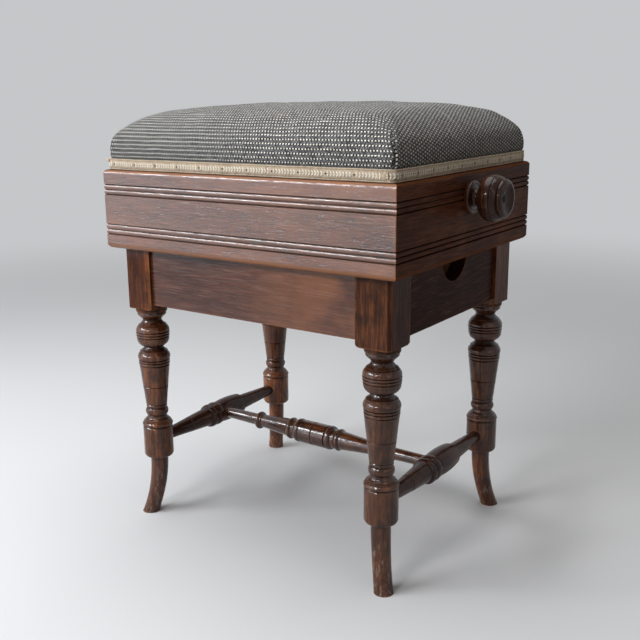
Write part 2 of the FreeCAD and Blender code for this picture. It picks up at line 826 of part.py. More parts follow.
def end_board(sx):
    body = box_board(half_depth, half_length, 90 if sx > 0 else 270)
    start = point(sx * (half_length - board_thickness), 0, shaft_height)
    body = body.cut(rod(shaft_radius + shaft_hole_clearance, start, point(sx, 0, 0), board_thickness))
    return cut_screws(body, plate_screw_list(sx))


def cleats():
    """Four glued strips in the top corners of the box, between the posts."""
    strips = []
    z0 = box_top - cleat_size
    for _, sy in sides:
        face = sy * (half_depth - board_thickness)
        strips.append(block(-cleat_reach_x(), cleat_reach_x(), face, face - sy * cleat_size, z0, box_top))
    for _, sx in ends:
        face = sx * (half_length - board_thickness)
        strips.append(block(face, face - sx * cleat_size, -cleat_reach_y(), cleat_reach_y(), z0, box_top))
    return group([cut_screws(strip, seat_screw_list()) for strip in strips])


# Upholstered seat
def seat_half(inset):
    return gimp_outer_x - inset, gimp_outer_y - inset


def seat_board():
    hx, hy = seat_half(gimp_thickness + cloth_thickness)
    body = rounded_slab(hx, hy, seat_corner_radius, seat_board_bottom, seat_board_top)
    body = cut_screws(body, seat_screw_list())
    return body.cut(tack_holes())


def cushion_form(shrink):
    """Crowned pad with drawn-in sides; shrink is how far its skin lies inside the cloth's."""
    hx, hy = seat_half(gimp_thickness + shrink)
    height = cushion_height - shrink
    radius = seat_corner_radius - shrink
    wires = [rounded_wire(hx, hy, radius, seat_board_top)]
    for height_share, inset_share in cushion_level_shares:
        inset = inset_share * cushion_height
        corner = radius + max(inset, 0) * cushion_corner_share
        corner = min(corner, cushion_corner_limit_share * (hy - inset))
        wires.append(rounded_wire(hx - inset, hy - inset, corner, seat_board_top + height_share * height))
    return Part.makeLoft(wires, True, False)


def stuffing():
    return cushion_form(cloth_thickness)


def cover():
    """Cloth over the stuffing and down round the edge of the seat board."""
    dome = cushion_form(0).cut(cushion_form(cloth_thickness))
    hx, hy = seat_half(gimp_thickness)
    ix, iy = seat_half(gimp_thickness + cloth_thickness)
    low = seat_board_bottom + gimp_lift
    skirt = rounded_slab(hx, hy, seat_corner_radius, low, seat_board_top)
    skirt = skirt.cut(rounded_slab(ix, iy, seat_corner_radius, low, seat_board_top))
    return joined([dome, skirt]).cut(tack_holes())


def gimp():
    """Braid round the foot of the cushion, with its join near the front right corner."""
    low = seat_board_bottom + gimp_lift
    hx, hy = seat_half(0)
    ix, iy = seat_half(gimp_thickness)
    ring = rounded_slab(hx, hy, seat_corner_radius + gimp_thickness, low, low + gimp_height)
    ring = ring.cut(rounded_slab(ix, iy, seat_corner_radius, low, low + gimp_height))
    x = hx - gimp_seam_inset
    ring = ring.cut(block(x, x + gimp_seam_width, -hy, -iy, low, low + gimp_height))
    return ring.cut(tack_holes())


def tack_rows():
    """Head centre and inward direction of each tack."""
    hx, hy = seat_half(0)
    z = seat_board_bottom + gimp_lift + gimp_height / 2
    places = []
    for half, face, along_x in ((hx, hy, True), (hy, hx, False)):
        span = 2 * (half - tack_end_margin)
        count = max(2, round(span / tack_spacing) + 1)
        for index in range(count):
            place = -span / 2 + span * index / (count - 1)
            for side in (-1, 1):
                if along_x:
                    places.append((point(place, side * face, z), point(0, -side, 0)))
                else:
                    places.append((point(side * face, place, z), point(-side, 0, 0)))
    return places


def tack_holes():
    radius = tack_shank_radius + tack_hole_clearance
    return group([rod(radius, start, way, tack_shank_length + tack_hole_clearance)
                  for start, way in tack_rows()])


def tacks():
    pins = []
    for start, way in tack_rows():
        head = rod(tack_head_radius, start, way * -1, tack_head_thickness)
        shank = rod(tack_shank_radius, start, way, tack_shank_length)
        pins.append(head.fuse(shank).removeSplitter())
    return group(pins)


# Every piece, in the order that it would be put together
for side_name, sy in sides:
    for end_name, sx in ends:
        save(leg(sx, sy), "leg_" + side_name + "_" + end_name)
    save(long_rail(sy), "rail_" + side_name)
for end_name, sx in ends:
    save(short_rail(sx), "rail_" + end_name)
    save(side_stretcher(sx).cut(middle_stretcher()), "stretcher_" + end_name)
    save(cut_screws(bearer(sx), bracket_screw_list(sx)), "bearer_" + end_name)
    save(bracket(sx), "bracket_" + end_name)
    save(pivot_rod(sx), "pivot_rod_" + end_name)
save(middle_stretcher(), "stretcher_middle")
save(screws_group(bracket_screw_list(-1) + bracket_screw_list(1)), "bracket_screws")
save(group(washers(-pivot_offset, pivot_height, near_arm_inner)
           + washers(pivot_offset, pivot_height, far_arm_inner)), "pivot_washers")

for end_name, sx in ends:
    for side_name, sy in sides:
        save(arm(sx, sy), "arm_" + side_name + "_from_" + end_name)
    save(nut(sx), "nut_" + end_name)
    save(nut_washers(sx), "nut_washers_" + end_name)
    save(bearing_plate(sx), "bearing_plate_" + end_name)
    save(rosette(sx), "rosette_" + end_name)
    save(knob(sx), "knob_" + end_name)
save(screw_shaft(), "screw_shaft")
save(group([collar(sx) for _, sx in ends]), "thrust_collars")
save(group([collar_screw(sx) for _, sx in ends]), "collar_screws")
save(group([button(sx) for _, sx in ends]), "knob_buttons")
save(screws_group(plate_screw_list(-1) + plate_screw_list(1)), "bearing_plate_screws")

for side_name, sy in sides:
    save(long_board(sy), "box_" + side_name)
for end_name, sx in ends:
    save(end_board(sx), "box_" + end_name)
save(cleats(), "seat_cleats")
save(seat_board(), "seat_board")
save(screws_group(seat_screw_list()), "seat_screws")
save(stuffing(), "cushion_stuffing")
save(cover(), "cushion_cover")
save(gimp(), "gimp_braid")
save(tacks(), "gimp_tacks")
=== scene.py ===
"""Looks of an adjustable piano stool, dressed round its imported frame.

Metres, +Z up, origin on the floor under the middle of the seat. The front is the
long side towards -Y, and +X is the knob end that the camera sees.
"""
import logging
import math
from dataclasses import dataclass, replace
from enum import Enum
from typing import Dict, Iterable, List, NamedTuple, Optional, Sequence, Tuple, Union

import bpy
import numpy as np
from mathutils import Matrix, Vector, noise


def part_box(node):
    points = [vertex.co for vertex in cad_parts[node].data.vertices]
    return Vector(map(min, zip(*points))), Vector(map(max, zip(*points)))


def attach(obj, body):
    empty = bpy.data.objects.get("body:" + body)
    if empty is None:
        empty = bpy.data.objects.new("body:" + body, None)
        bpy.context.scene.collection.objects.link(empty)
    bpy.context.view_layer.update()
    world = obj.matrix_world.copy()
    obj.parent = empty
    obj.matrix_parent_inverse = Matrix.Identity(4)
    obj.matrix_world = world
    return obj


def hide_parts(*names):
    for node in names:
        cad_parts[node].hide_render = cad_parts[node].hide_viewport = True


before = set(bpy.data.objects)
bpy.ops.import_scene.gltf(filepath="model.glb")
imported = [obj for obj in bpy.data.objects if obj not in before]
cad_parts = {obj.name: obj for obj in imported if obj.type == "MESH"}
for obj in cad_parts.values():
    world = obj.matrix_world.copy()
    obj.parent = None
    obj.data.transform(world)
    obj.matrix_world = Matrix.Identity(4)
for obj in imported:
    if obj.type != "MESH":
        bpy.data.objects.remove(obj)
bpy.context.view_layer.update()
LOG = logging.getLogger("stool")
DIAGONAL = math.sqrt(0.5)
MM = 0.001

Colour = Tuple[float, float, float]
Place = Tuple[float, float, float]
Pair = Tuple[float, float]
Material = bpy.types.Material
Node = bpy.types.Node
Piece = bpy.types.Object
Socket = bpy.types.NodeSocket
Tree = bpy.types.NodeTree
Number = Union["Field", float]

BLACK: Colour = (0.0, 0.0, 0.0)
ROOM: Colour = (0.56, 0.57, 0.585)
NO_TURN: Place = (0.0, 0.0, 0.0)


class Grain(Enum):
    """The way that a wooden piece's grain runs."""

    ALONG_X = 0
    ALONG_Y = 1
    ALONG_Z = 2

    def squeeze(self, share: float) -> List[float]:
        """Scale that draws a pattern out along the grain."""
        return [share if axis == self.value else 1.0 for axis in range(3)]


class Mottle(NamedTuple):
    """A fractal noise, with the limits of a fade from 0 to 1 where it has one."""

    scale: float
    detail: float
    rough: float
    swirl: float = 0.0
    fade: Optional[Pair] = None


class Lamp(NamedTuple):
    """A soft lamp that faces the stool."""

    name: str
    place: Place
    size: Pair
    power: float
    colour: Colour


def add_node(tree: Tree, kind: str, inputs: Optional[dict] = None, **settings) -> Node:
    """Adds one node to a tree.

    Args:
        tree: The tree that gets the node.
        kind: The node's type name.
        inputs: What each input, by name or place, is joined to or set to.
        settings: The node's own options.

    Returns:
        The new node.
    """
    node = tree.nodes.new(kind)
    for key, value in settings.items():
        setattr(node, key, value)
    for key, value in (inputs or {}).items():
        if isinstance(value, Field):
            value = value.socket
        if isinstance(value, Socket):
            tree.links.new(value, node.inputs[key])
        else:
            node.inputs[key].default_value = value
    return node


class Field:
    """A number that varies over a surface, written as ordinary arithmetic."""

    def __init__(self, tree: Tree, socket: Socket) -> None:
        """Keeps the tree and the output socket that gives the number."""
        self.tree = tree
        self.socket = socket

    def through(self, kind: str, *others: Number, **settings) -> "Field":
        """Sends this number, and others after it, through one node.

        Args:
            kind: The node's type name.
            others: What the node's later inputs are joined to or set to.
            settings: The node's own options.

        Returns:
            The result as a new field.
        """
        node = add_node(self.tree, kind, dict(enumerate((self, *others))), **settings)
        return Field(self.tree, node.outputs[0])

    def step(self, operation: str, *others: Number) -> "Field":
        """Applies one operation of the Math node to this number and the others."""
        return self.through("ShaderNodeMath", *others, operation=operation)

    def __add__(self, other: Number) -> "Field":
        """Sum."""
        return self.step("ADD", other)

    def __sub__(self, other: Number) -> "Field":
        """Difference."""
        return self.step("SUBTRACT", other)

    def __mul__(self, other: Number) -> "Field":
        """Product."""
        return self.step("MULTIPLY", other)

    def fade(self, low: float, high: float) -> "Field":
        """Smooth rise from 0 at low to 1 at high, or a fall where low is the larger."""
        ends = (high, low, 1.0, 0.0) if low > high else (low, high, 0.0, 1.0)
        return self.through("ShaderNodeMapRange", *ends, interpolation_type="SMOOTHSTEP")

    def cell(self) -> "Field":
        """Place inside its unit cell, from 0 to 1."""
        return self.step("FRACT")


class Workbench:
    """A node tree under construction."""

    def __init__(self, tree: Tree) -> None:
        """Keeps the tree."""
        self.tree = tree

    def node(self, kind: str, inputs: Optional[dict] = None, **settings) -> Node:
        """Adds a node, as add_node does."""
        return add_node(self.tree, kind, inputs, **settings)

    def made(self, kind: str, inputs: Optional[dict] = None, **settings) -> Socket:
        """Adds a node and gives its first output."""
        return self.node(kind, inputs, **settings).outputs[0]

    def field(self, kind: str, inputs: Optional[dict] = None, **settings) -> Field:
        """Adds a node and gives its first output as a field."""
        return Field(self.tree, self.made(kind, inputs, **settings))

    def seen_directly(self) -> Field:
        """Tells the camera's own rays from those that light the scene.

        Returns:
            1 for rays that come straight, mirrored or through glass from the camera, else 0.
        """
        rays = self.node("ShaderNodeLightPath").outputs
        camera, glossy, glass = (Field(self.tree, rays[f"Is {kind} Ray"])
                                 for kind in ("Camera", "Glossy", "Transmission"))
        return camera.step("MAXIMUM", glossy.step("MAXIMUM", glass))


class Graph(Workbench):
    """One material under construction, with the colour that its coats have given so far."""

    def __init__(self, name: str) -> None:
        """Starts an empty material.

        Args:
            name: The material's name.
        """
        self.material = bpy.data.materials.new(name)
        self.material.use_nodes = True
        super().__init__(self.material.node_tree)
        self.tree.nodes.clear()
        self.place = self.node("ShaderNodeTexCoord").outputs["Object"]
        self.colour: Optional[Socket] = None

    def stretched(self, scale: Sequence[float], vector: Optional[Socket] = None) -> Socket:
        """Coordinates multiplied by a scale on each axis."""
        return self.made("ShaderNodeMapping", {"Vector": vector or self.place, "Scale": scale})

    def axes(self, vector: Optional[Socket] = None) -> List[Field]:
        """The three coordinates as separate fields."""
        node = self.node("ShaderNodeSeparateXYZ", {0: vector or self.place})
        return [Field(self.tree, out) for out in node.outputs]

    def noise(self, mottle: Mottle, vector: Optional[Socket] = None) -> Field:
        """Fractal noise in the range 0 to 1.

        Args:
            mottle: What the noise is like.
            vector: The coordinates that it lies on, or none for the piece's own.

        Returns:
            The noise, faded where the mottle says so.
        """
        field = self.field("ShaderNodeTexNoise", {
            "Vector": vector or self.place, "Scale": mottle.scale, "Detail": mottle.detail,
            "Roughness": mottle.rough, "Distortion": mottle.swirl})
        return field.fade(*mottle.fade) if mottle.fade else field

    def random(self, first: Field, second: Field) -> Field:
        """One random number for each pair of whole numbers."""
        pair = self.made("ShaderNodeCombineXYZ", {0: first, 1: second})
        return self.field("ShaderNodeTexWhiteNoise", {"Vector": pair}, noise_dimensions="2D")

    def nearness(self, reach: float, inside: bool) -> Field:
        """Openness round a point of the same piece, outside or inside its skin.

        Args:
            reach: How far the piece's other faces count.
            inside: Whether it looks into the piece, which finds edges, or out, for hollows.

        Returns:
            1 in the open, less where faces are near.
        """
        node = self.node("ShaderNodeAmbientOcclusion", {"Distance": reach}, samples=4,
                         inside=inside, only_local=True)
        return Field(self.tree, node.outputs["AO"])

    def mix(self, share: Field, first: Union[Socket, Colour],
            second: Union[Socket, Colour]) -> Socket:
        """Blends two colours.

        Args:
            share: Share of the second colour.
            first: A colour or the socket that gives it.
            second: Another.

        Returns:
            The blend.
        """
        one, two = (c if isinstance(c, Socket) else (*c, 1.0) for c in (first, second))
        node = self.node("ShaderNodeMix", {0: share, 6: one, 7: two}, data_type="RGBA")
        return node.outputs[2]

    def cover(self, share: Field, colour: Colour) -> None:
        """Lays a colour over what the material has so far."""
        self.colour = self.mix(share, self.colour, colour)

    def ramp(self, field: Field, stops: Sequence[Tuple[float, Colour]]) -> None:
        """Sets the material's colour by the value of a field.

        Args:
            field: The value.
            stops: Value and colour of each stop, blended evenly between.
        """
        node = self.node("ShaderNodeValToRGB", {0: field})
        elements = node.color_ramp.elements
        while len(elements) < len(stops):
            elements.new(1.0)
        for element, (place, colour) in zip(elements, stops):
            element.position = place
            element.color = (*colour, 1.0)
        self.colour = node.outputs[0]

    def bump(self, height: Field, strength: float, depth: float,
             under: Optional[Socket] = None) -> Socket:
        """Turns a relief into a normal.

        Args:
            height: The relief, in the range 0 to 1.
            strength: Share of it that shows.
            depth: Its depth in metres.
            under: Another normal that it lies on.

        Returns:
            The normal.
        """
        inputs = {"Height": height, "Strength": strength, "Distance": depth}
        if under is not None:
            inputs["Normal"] = under
        return self.made("ShaderNodeBump", inputs)

    def finish(self, **inputs: Union[Field, Socket, float, Colour]) -> Material:
        """Joins the surface to the output.

        Args:
            inputs: The surface's sockets, with underscores for the spaces in their names.

        Returns:
            The finished material.
        """
        named = {"Base Color": self.colour}
        for key, value in inputs.items():
            named[key.replace("_", " ")] = (*value, 1.0) if isinstance(value, tuple) else value
        self.node("ShaderNodeOutputMaterial", {0: self.made("ShaderNodeBsdfPrincipled", named)})
        return self.material


@dataclass(frozen=True)
class PolishedWood:
    """French-polished mahogany, worn on its edges, with painted shade darkening its hollows.

    What a height of 0, or a place of None, stands for is left out.
    """

    name: str
    grain: Grain
    dark: Colour = (0.030, 0.0090, 0.0055)
    middle: Colour = (0.086, 0.027, 0.0145)
    light: Colour = (0.170, 0.062, 0.030)
    worn: Colour = (0.26, 0.090, 0.024)
    fleck: Colour = (0.20, 0.068, 0.025)
    warm: Colour = (0.25, 0.088, 0.030)
    faded: Colour = (0.28, 0.155, 0.105)
    dust: Colour = (0.30, 0.21, 0.16)
    # Colour of the painted shade in hollows and grooves.
    hollow_shade_colour: Colour = (0.005, 0.0022, 0.0018)
    # How much of each thing the finish has.
    roughness: float = 0.34
    specular: float = 0.36
    coat: float = 0.40
    upper_coat: float = 0.0
    coat_roughness: float = 0.15
    wear: float = 0.50
    hollow_dark: float = 0.96
    figure_light: float = 0.20
    contrast: float = 1.0
    blotch: float = 0.0
    broken: float = 0.0
    relief: float = 0.35
    ripple: float = 0.10
    warm_share: float = 0.75
    pore_dark: float = 0.55
    # Share of the painted shadow under the braid.
    seam_dark: float = 0.85
    dust_share: float = 0.50
    fleck_dulls: float = 0.6
    worn_dulls: float = 0.95
    # Where it is, in metres.
    upper_from: float = 0.0
    dull_below: float = 0.0
    bare_above: float = 0.0
    bare_below: float = 0.0
    braid_shadow_at: float = 0.0
    warm_from: Optional[float] = None
    warm_reach: float = 0.22
    edge_reach: float = 0.0022
    hollow_reach: float = 0.005
    ledge_fade: float = 0.0012
    fillet_fade: float = 0.0016
    relief_depth: float = 0.00022
    ripple_depth: float = 0.0012
    # What its mottling is like.
    figure: Mottle = Mottle(30.0, 5.0, 0.60, 1.1)
    bands: Mottle = Mottle(300.0, 3.0, 0.65, 0.3)
    clouds: Mottle = Mottle(10.0, 3.0, 0.55)
    pores: Mottle = Mottle(1300.0, 2.0, 0.7, 0.0, (0.57, 0.69))
    streaks: Mottle = Mottle(620.0, 2.0, 0.6, 0.0, (0.50, 0.70))
    stains: Mottle = Mottle(62.0, 4.0, 0.62, 0.0, (0.46, 0.66))
    rubs: Mottle = Mottle(70.0, 4.0, 0.65)
    smears: Mottle = Mottle(30.0, 4.0, 0.7)
    flecks: Mottle = Mottle(560.0, 4.0, 0.72, 0.4, (0.40, 0.62))
    scuffs: Mottle = Mottle(240.0, 4.0, 0.7, 0.0, (0.52, 0.66))
    ripples: Mottle = Mottle(46.0, 3.0, 0.5)
    stops: Tuple[float, float, float] = (0.32, 0.50, 0.70)
    figure_squeeze: float = 0.09
    pore_squeeze: float = 0.045
    fleck_squeeze: float = 0.22
    tone_shares: Tuple[float, float, float] = (0.46, 0.50, 0.34)
    tone_level: float = 0.65
    # Where each of those starts to tell and where it is full.
    warm_fade: Pair = (0.35, 0.62)
    edge_fade: Pair = (0.93, 0.62)
    edge_rub: Pair = (0.34, 0.60)
    bare_rub: Pair = (0.12, 0.50)
    bare_grain: Pair = (0.30, 0.60)
    hollow_fade: Pair = (0.97, 0.52)

    def tone(self, figure: Field, bands: Field, clouds: Field) -> Field:
        """Mixes the wood's mottling.

        Args:
            figure: The broad figure.
            bands: The narrow bands of the grain.
            clouds: The clouds over both.

        Returns:
            Place of the colour between dark and light, with 0.5 in the middle.
        """
        of_figure, of_bands, of_clouds = self.tone_shares
        mixed = figure * of_figure + bands * of_bands + clouds * of_clouds
        return (mixed - self.tone_level) * self.contrast + 0.5

    def build(self) -> Material:
        """Makes the material from the wood outwards: figure, wear, coat, dust, and painted shade
        in the hollows.

        Returns:
            The finish.
        """
        graph = Graph(self.name)
        x, _, height = graph.axes()
        flow = graph.stretched(self.grain.squeeze(self.figure_squeeze))
        fine = graph.stretched(self.grain.squeeze(self.pore_squeeze))
        figure, bands = graph.noise(self.figure, flow), graph.noise(self.bands, flow)
        pores, streaks = graph.noise(self.pores, fine), graph.noise(self.streaks, fine)
        clouds, rub = graph.noise(self.clouds), graph.noise(self.rubs)
        graph.ramp(self.tone(figure, bands, clouds),
                   tuple(zip(self.stops, (self.dark, self.middle, self.light))))
        if self.warm_from is not None:
            side = x.fade(self.warm_from, self.warm_from + self.warm_reach)
            graph.cover(side * (clouds.fade(*self.warm_fade) * self.warm_share), self.warm)
        graph.cover(pores * self.pore_dark, self.dark)
        if self.blotch:
            stain = graph.noise(self.stains, graph.stretched((1.0, 1.0, 0.6)))
            graph.cover(stain * self.blotch, self.dark)
        graph.cover(streaks * self.figure_light, self.faded)
        edge = graph.nearness(self.edge_reach, True).fade(*self.edge_fade)
        edge = edge * (rub.fade(*self.edge_rub) * self.wear)
        graph.cover(edge, self.worn)
        rough = graph.noise(self.smears) * 0.20 + (self.roughness - 0.10)
        rough = rough + pores * 0.12 + edge * 0.1
        raised = bands * 0.5 + streaks * 0.3 - pores * 0.9
        polish: Number = self.coat
        if self.broken:
            loose = graph.stretched(self.grain.squeeze(self.fleck_squeeze))
            flecks = graph.noise(self.flecks, loose) * self.broken
            graph.cover(flecks, self.fleck)
            polish = flecks * (-self.fleck_dulls * self.coat) + self.coat
            raised = raised - flecks * 0.7
        if self.upper_from:
            upper = height.fade(self.upper_from, self.upper_from + MM)
            polish = upper * (self.upper_coat - self.coat) + self.coat
        if self.bare_above:
            patchy = rub.fade(*self.bare_rub) * 0.55 + bands.fade(*self.bare_grain) * 0.40
            bare = self.bare_bands(height) * patchy
            graph.cover(bare, self.worn)
            # Painted shadow: a dark line along the board's top, just under the braid, where the
            # braid shades it.
            seam = height.fade(self.braid_shadow_at - 1.0 * MM, self.braid_shadow_at - 0.3 * MM)
            graph.cover(seam * self.seam_dark, self.dark)
            rough = rough + bare * 0.35
            polish = (bare * -self.worn_dulls + 1.0) * polish
        if self.dull_below:
            dull = height.fade(self.dull_below, self.dull_below * 0.4)
            scuffs = graph.noise(self.scuffs, graph.stretched((1.0, 1.0, 0.25)))
            graph.cover(scuffs * dull * self.dust_share, self.dust)
            rough = rough + dull * 0.20
        # Painted shade: darkens the hollows and grooves, where shade falls.
        hollow = graph.nearness(self.hollow_reach, False).fade(*self.hollow_fade)
        graph.cover(hollow * self.hollow_dark, self.hollow_shade_colour)
        rough = rough + hollow * 0.25
        relief = graph.bump(raised, self.relief, self.relief_depth)
        ripple = graph.bump(graph.noise(self.ripples, flow), self.ripple, self.ripple_depth,
                            relief)
        return graph.finish(Roughness=rough, Normal=relief, Specular_IOR_Level=self.specular,
                            Coat_Weight=polish, Coat_Roughness=self.coat_roughness,
                            Coat_Normal=ripple)

    def bare_bands(self, height: Field) -> Field:
        """Finds the worn ledge along the top of a board and the fillet along its foot.

        Args:
            height: Height over the floor.

        Returns:
            1 where the board is bare.
        """
        ledge = height.fade(self.bare_above, self.bare_above + self.ledge_fade)
        fillet = height.fade(self.bare_below + self.fillet_fade,
                             self.bare_below - self.ledge_fade)
        return ledge + fillet * 0.8


@dataclass(frozen=True)
class BareWood:
    """Unpolished secondary timber, dusty with age."""

    name: str
    grain: Grain
    tones: Tuple[Tuple[float, Colour], ...] = (
        (0.32, (0.13, 0.070, 0.034)), (0.52, (0.30, 0.180, 0.092)), (0.70, (0.46, 0.30, 0.165)))
    stain: Colour = (0.10, 0.062, 0.036)
    roughness: float = 0.68
    squeeze: float = 0.07
    rings: Mottle = Mottle(60.0, 4.0, 0.55, 1.5)
    fibres: Mottle = Mottle(900.0, 3.0, 0.7)
    stains: Mottle = Mottle(14.0, 4.0, 0.7, 0.0, (0.50, 0.72))

    def build(self) -> Material:
        """Makes the material.

        Returns:
            The finish.
        """
        graph = Graph(self.name)
        flow = graph.stretched(self.grain.squeeze(self.squeeze))
        rings, fibres = graph.noise(self.rings, flow), graph.noise(self.fibres, flow)
        graph.ramp(rings * 0.8 + fibres * 0.25 - 0.02, self.tones)
        graph.cover(graph.noise(self.stains) * 0.55, self.stain)
        relief = graph.bump(fibres + rings, 0.5, 0.4 * MM)
        return graph.finish(Roughness=fibres * 0.2 + self.roughness, Normal=relief)


@dataclass(frozen=True)
class OldMetal:
    """Forged or machined metal with a dull skin and spots of rust."""

    name: str
    bright: Colour
    dim: Colour
    rust: Colour = (0.16, 0.055, 0.022)
    rust_share: float = 0.5
    roughness: float = 0.45
    metallic: float = 0.9
    hammered: float = 0.5
    patina: Mottle = Mottle(70.0, 5.0, 0.68)
    marks: Mottle = Mottle(420.0, 3.0, 0.6)
    spots: Mottle = Mottle(150.0, 5.0, 0.75, 0.5, (0.56, 0.70))
    hollow_reach: float = 0.004

    def build(self) -> Material:
        """Makes the material.

        Returns:
            The finish.
        """
        graph = Graph(self.name)
        patina, marks = graph.noise(self.patina), graph.noise(self.marks)
        graph.colour = graph.mix(patina.fade(0.35, 0.65), self.bright, self.dim)
        spots = graph.noise(self.spots) * self.rust_share
        hollow = graph.nearness(self.hollow_reach, False).fade(0.95, 0.5) * self.rust_share
        rusty = spots.step("MAXIMUM", hollow)
        graph.cover(rusty, self.rust)
        relief = graph.bump(marks * self.hammered + spots, 0.35, 0.4 * MM)
        rough = patina * 0.25 + (self.roughness - 0.12) + rusty * 0.3
        return graph.finish(Roughness=rough, Normal=relief,
                            Metallic=rusty * -self.metallic + self.metallic)


@dataclass(frozen=True)
class SeatCloth:
    """Charcoal herringbone seat cloth with staggered rows of cream dashes."""

    name: str
    map_name: str
    row_pitch: float = 0.0046
    dash_pitch: float = 0.0038
    twill_pitch: float = 0.0019
    drift_along: float = 0.0008
    drift_across: float = 0.0010
    dash_height: float = 5.3
    dash_length: float = 3.9
    dash_lean: float = 0.060
    twill_lean: float = 1.6
    dash_edge: Pair = (1.25, 0.65)
    thread_edge: Pair = (0.14, 0.32)
    cross_edge: Pair = (0.14, 0.24)
    drift: Mottle = Mottle(45.0, 2.0, 0.5)
    slubs: Mottle = Mottle(1.0, 2.0, 0.6, 0.0, (0.60, 0.72))
    fuzz: Mottle = Mottle(2600.0, 2.0, 0.6)
    cream: Colour = (0.95, 0.91, 0.82)
    grey: Colour = (0.30, 0.295, 0.285)
    ground: Colour = (0.010, 0.0097, 0.0097)

    def build(self) -> Material:
        """Makes the material on the cloth's own map, whose unit is a metre.

        Returns:
            The finish.
        """
        graph = Graph(self.name)
        weave = graph.made("ShaderNodeUVMap", uv_map=self.map_name)
        drift = graph.noise(self.drift) - 0.5
        u, v, _ = graph.axes(weave)
        u = u + drift * self.drift_along
        rows = (v + drift * self.drift_across) * (1.0 / self.row_pitch)
        row = rows.step("FLOOR")
        in_row = rows.cell() - 0.5
        # Dashes: ovals in every row, each row half a pitch on and leaning the other way.
        dashes = u * (1.0 / self.dash_pitch) + row * 0.5
        luck = graph.random(dashes.step("FLOOR"), row)
        slub = graph.noise(
            self.slubs, graph.stretched((16.0, 1.0 / self.row_pitch, 1.0), weave))
        lean = (row * 0.5).cell() * 4.0 - 1.0
        across = in_row * self.dash_height
        beside = dashes.cell() - 0.5 + across * lean * self.dash_lean
        beside = beside * (luck * -0.5 - slub * 1.6 + self.dash_length)
        dash = (across * across + beside * beside).fade(*self.dash_edge)
        # Twill: the grey threads between the dashes.
        twill = u * (1.0 / self.twill_pitch) + rows * (lean * self.twill_lean)
        thread = (twill.cell() - 0.5).step("ABSOLUTE").fade(*self.thread_edge)
        yarn = graph.random(twill.step("FLOOR"), (rows * 2.0).step("FLOOR")).fade(0.1, 0.9)
        cross = in_row.step("ABSOLUTE").fade(*self.cross_edge)
        graph.colour = graph.mix(thread * cross * (yarn * 0.75 + 0.25), self.ground, self.grey)
        graph.cover(dash * (luck * 0.42 + slub * 0.15 + 0.64), self.cream)
        fuzz = graph.noise(self.fuzz)
        relief = graph.bump(dash * 1.0 + thread * 0.45 + fuzz * 0.25, 0.8, 0.8 * MM)
        return graph.finish(Roughness=fuzz * 0.12 + 0.82, Normal=relief, Sheen_Weight=0.10,
                            Sheen_Roughness=0.45, Specular_IOR_Level=0.20)


@dataclass(frozen=True)
class BraidYarn:
    """Twisted yarn of the braid, with a little dirt, and painted shade in its hollows."""

    name: str
    colour: Colour
    dirt_and_shade: Colour
    twist_pitch: float = 0.0007
    twist_rise: float = 1.4
    hollow_reach: float = 0.0016
    hollow_shade_level: float = 0.32
    soil: Mottle = Mottle(210.0, 4.0, 0.75, 0.0, (0.42, 0.66))

    def build(self) -> Material:
        """Makes the material.

        Returns:
            The finish.
        """
        graph = Graph(self.name)
        x, y, z = graph.axes()
        spin = (x + y) * (1.0 / self.twist_pitch) + z * (self.twist_rise / self.twist_pitch)
        ply = (spin.cell() - 0.5).step("ABSOLUTE").fade(0.10, 0.40)
        soil = graph.noise(self.soil)
        hollow = graph.nearness(self.hollow_reach, False).fade(0.95, 0.35)
        graph.colour = graph.mix(ply * 0.35, self.colour, self.dirt_and_shade)
        graph.cover(soil * 0.45, self.dirt_and_shade)
        # Painted shade: darkens the hollows between the stitches, where shade falls.
        graph.cover(hollow * 0.95, tuple(part * self.hollow_shade_level for part in self.dirt_and_shade))
        relief = graph.bump(ply * -1.0, 0.6, 0.3 * MM)
        return graph.finish(Roughness=soil * 0.15 + 0.66, Normal=relief, Sheen_Weight=0.15,
                            Sheen_Roughness=0.4)


@dataclass(frozen=True)
class PaleGround:
    """Plain pale floor that melts into the pale room away from the stool."""

    name: str
    colour: Colour = (0.46, 0.455, 0.45)
    shown: Colour = (0.70, 0.70, 0.70)
    fade_from: float = 0.55
    fade_to: float = 2.6
    cloud: Mottle = Mottle(3.0, 3.0, 0.5)

    def build(self) -> Material:
        """Makes the material.

        Returns:
            The finish.
        """
        graph = Graph(self.name)
        x, y, _ = graph.axes()
        away = (x * x + y * y).step("SQRT").fade(self.fade_from, self.fade_to)
        cloud = graph.noise(self.cloud)
        seen = graph.seen_directly()
        graph.colour = graph.mix(seen * (cloud * 0.08 + 0.92), self.colour, self.shown)
        graph.cover(away, BLACK)
        return graph.finish(Roughness=0.8, Specular_IOR_Level=0.0, Emission_Color=ROOM,
                            Emission_Strength=away * seen)


def mesh_object(name: str, points: np.ndarray, faces: Sequence[Sequence[int]] = (),
                material: Optional[Material] = None,
                edges: Sequence[Tuple[int, int]] = ()) -> Piece:
    """Makes a smooth-shaded mesh object at the origin.

    Args:
        name: The object's name.
        points: Vertex places, one row each.
        faces: Vertex numbers of each face.
        material: The finish, where the tree doesn't set it.
        edges: Vertex numbers of each loose edge.

    Returns:
        The object, in the scene.
    """
    mesh = bpy.data.meshes.new(name)
    mesh.from_pydata([tuple(p) for p in points], edges, [tuple(f) for f in faces])
    mesh.update()
    if len(faces):
        mesh.shade_smooth()
    if material is not None:
        mesh.materials.append(material)
    piece = bpy.data.objects.new(name, mesh)
    bpy.context.scene.collection.objects.link(piece)
    return piece


def plain_mesh(piece: Piece) -> Piece:
    """Turns what a piece's modifiers make into its own mesh, and removes them.

    Args:
        piece: The object.

    Returns:
        The same object.
    """
    bpy.context.view_layer.update()
    evaluated = piece.evaluated_get(bpy.context.evaluated_depsgraph_get())
    made = bpy.data.meshes.new_from_object(evaluated)
    piece.modifiers.clear()
    piece.data = made
    made.name = piece.name
    return piece


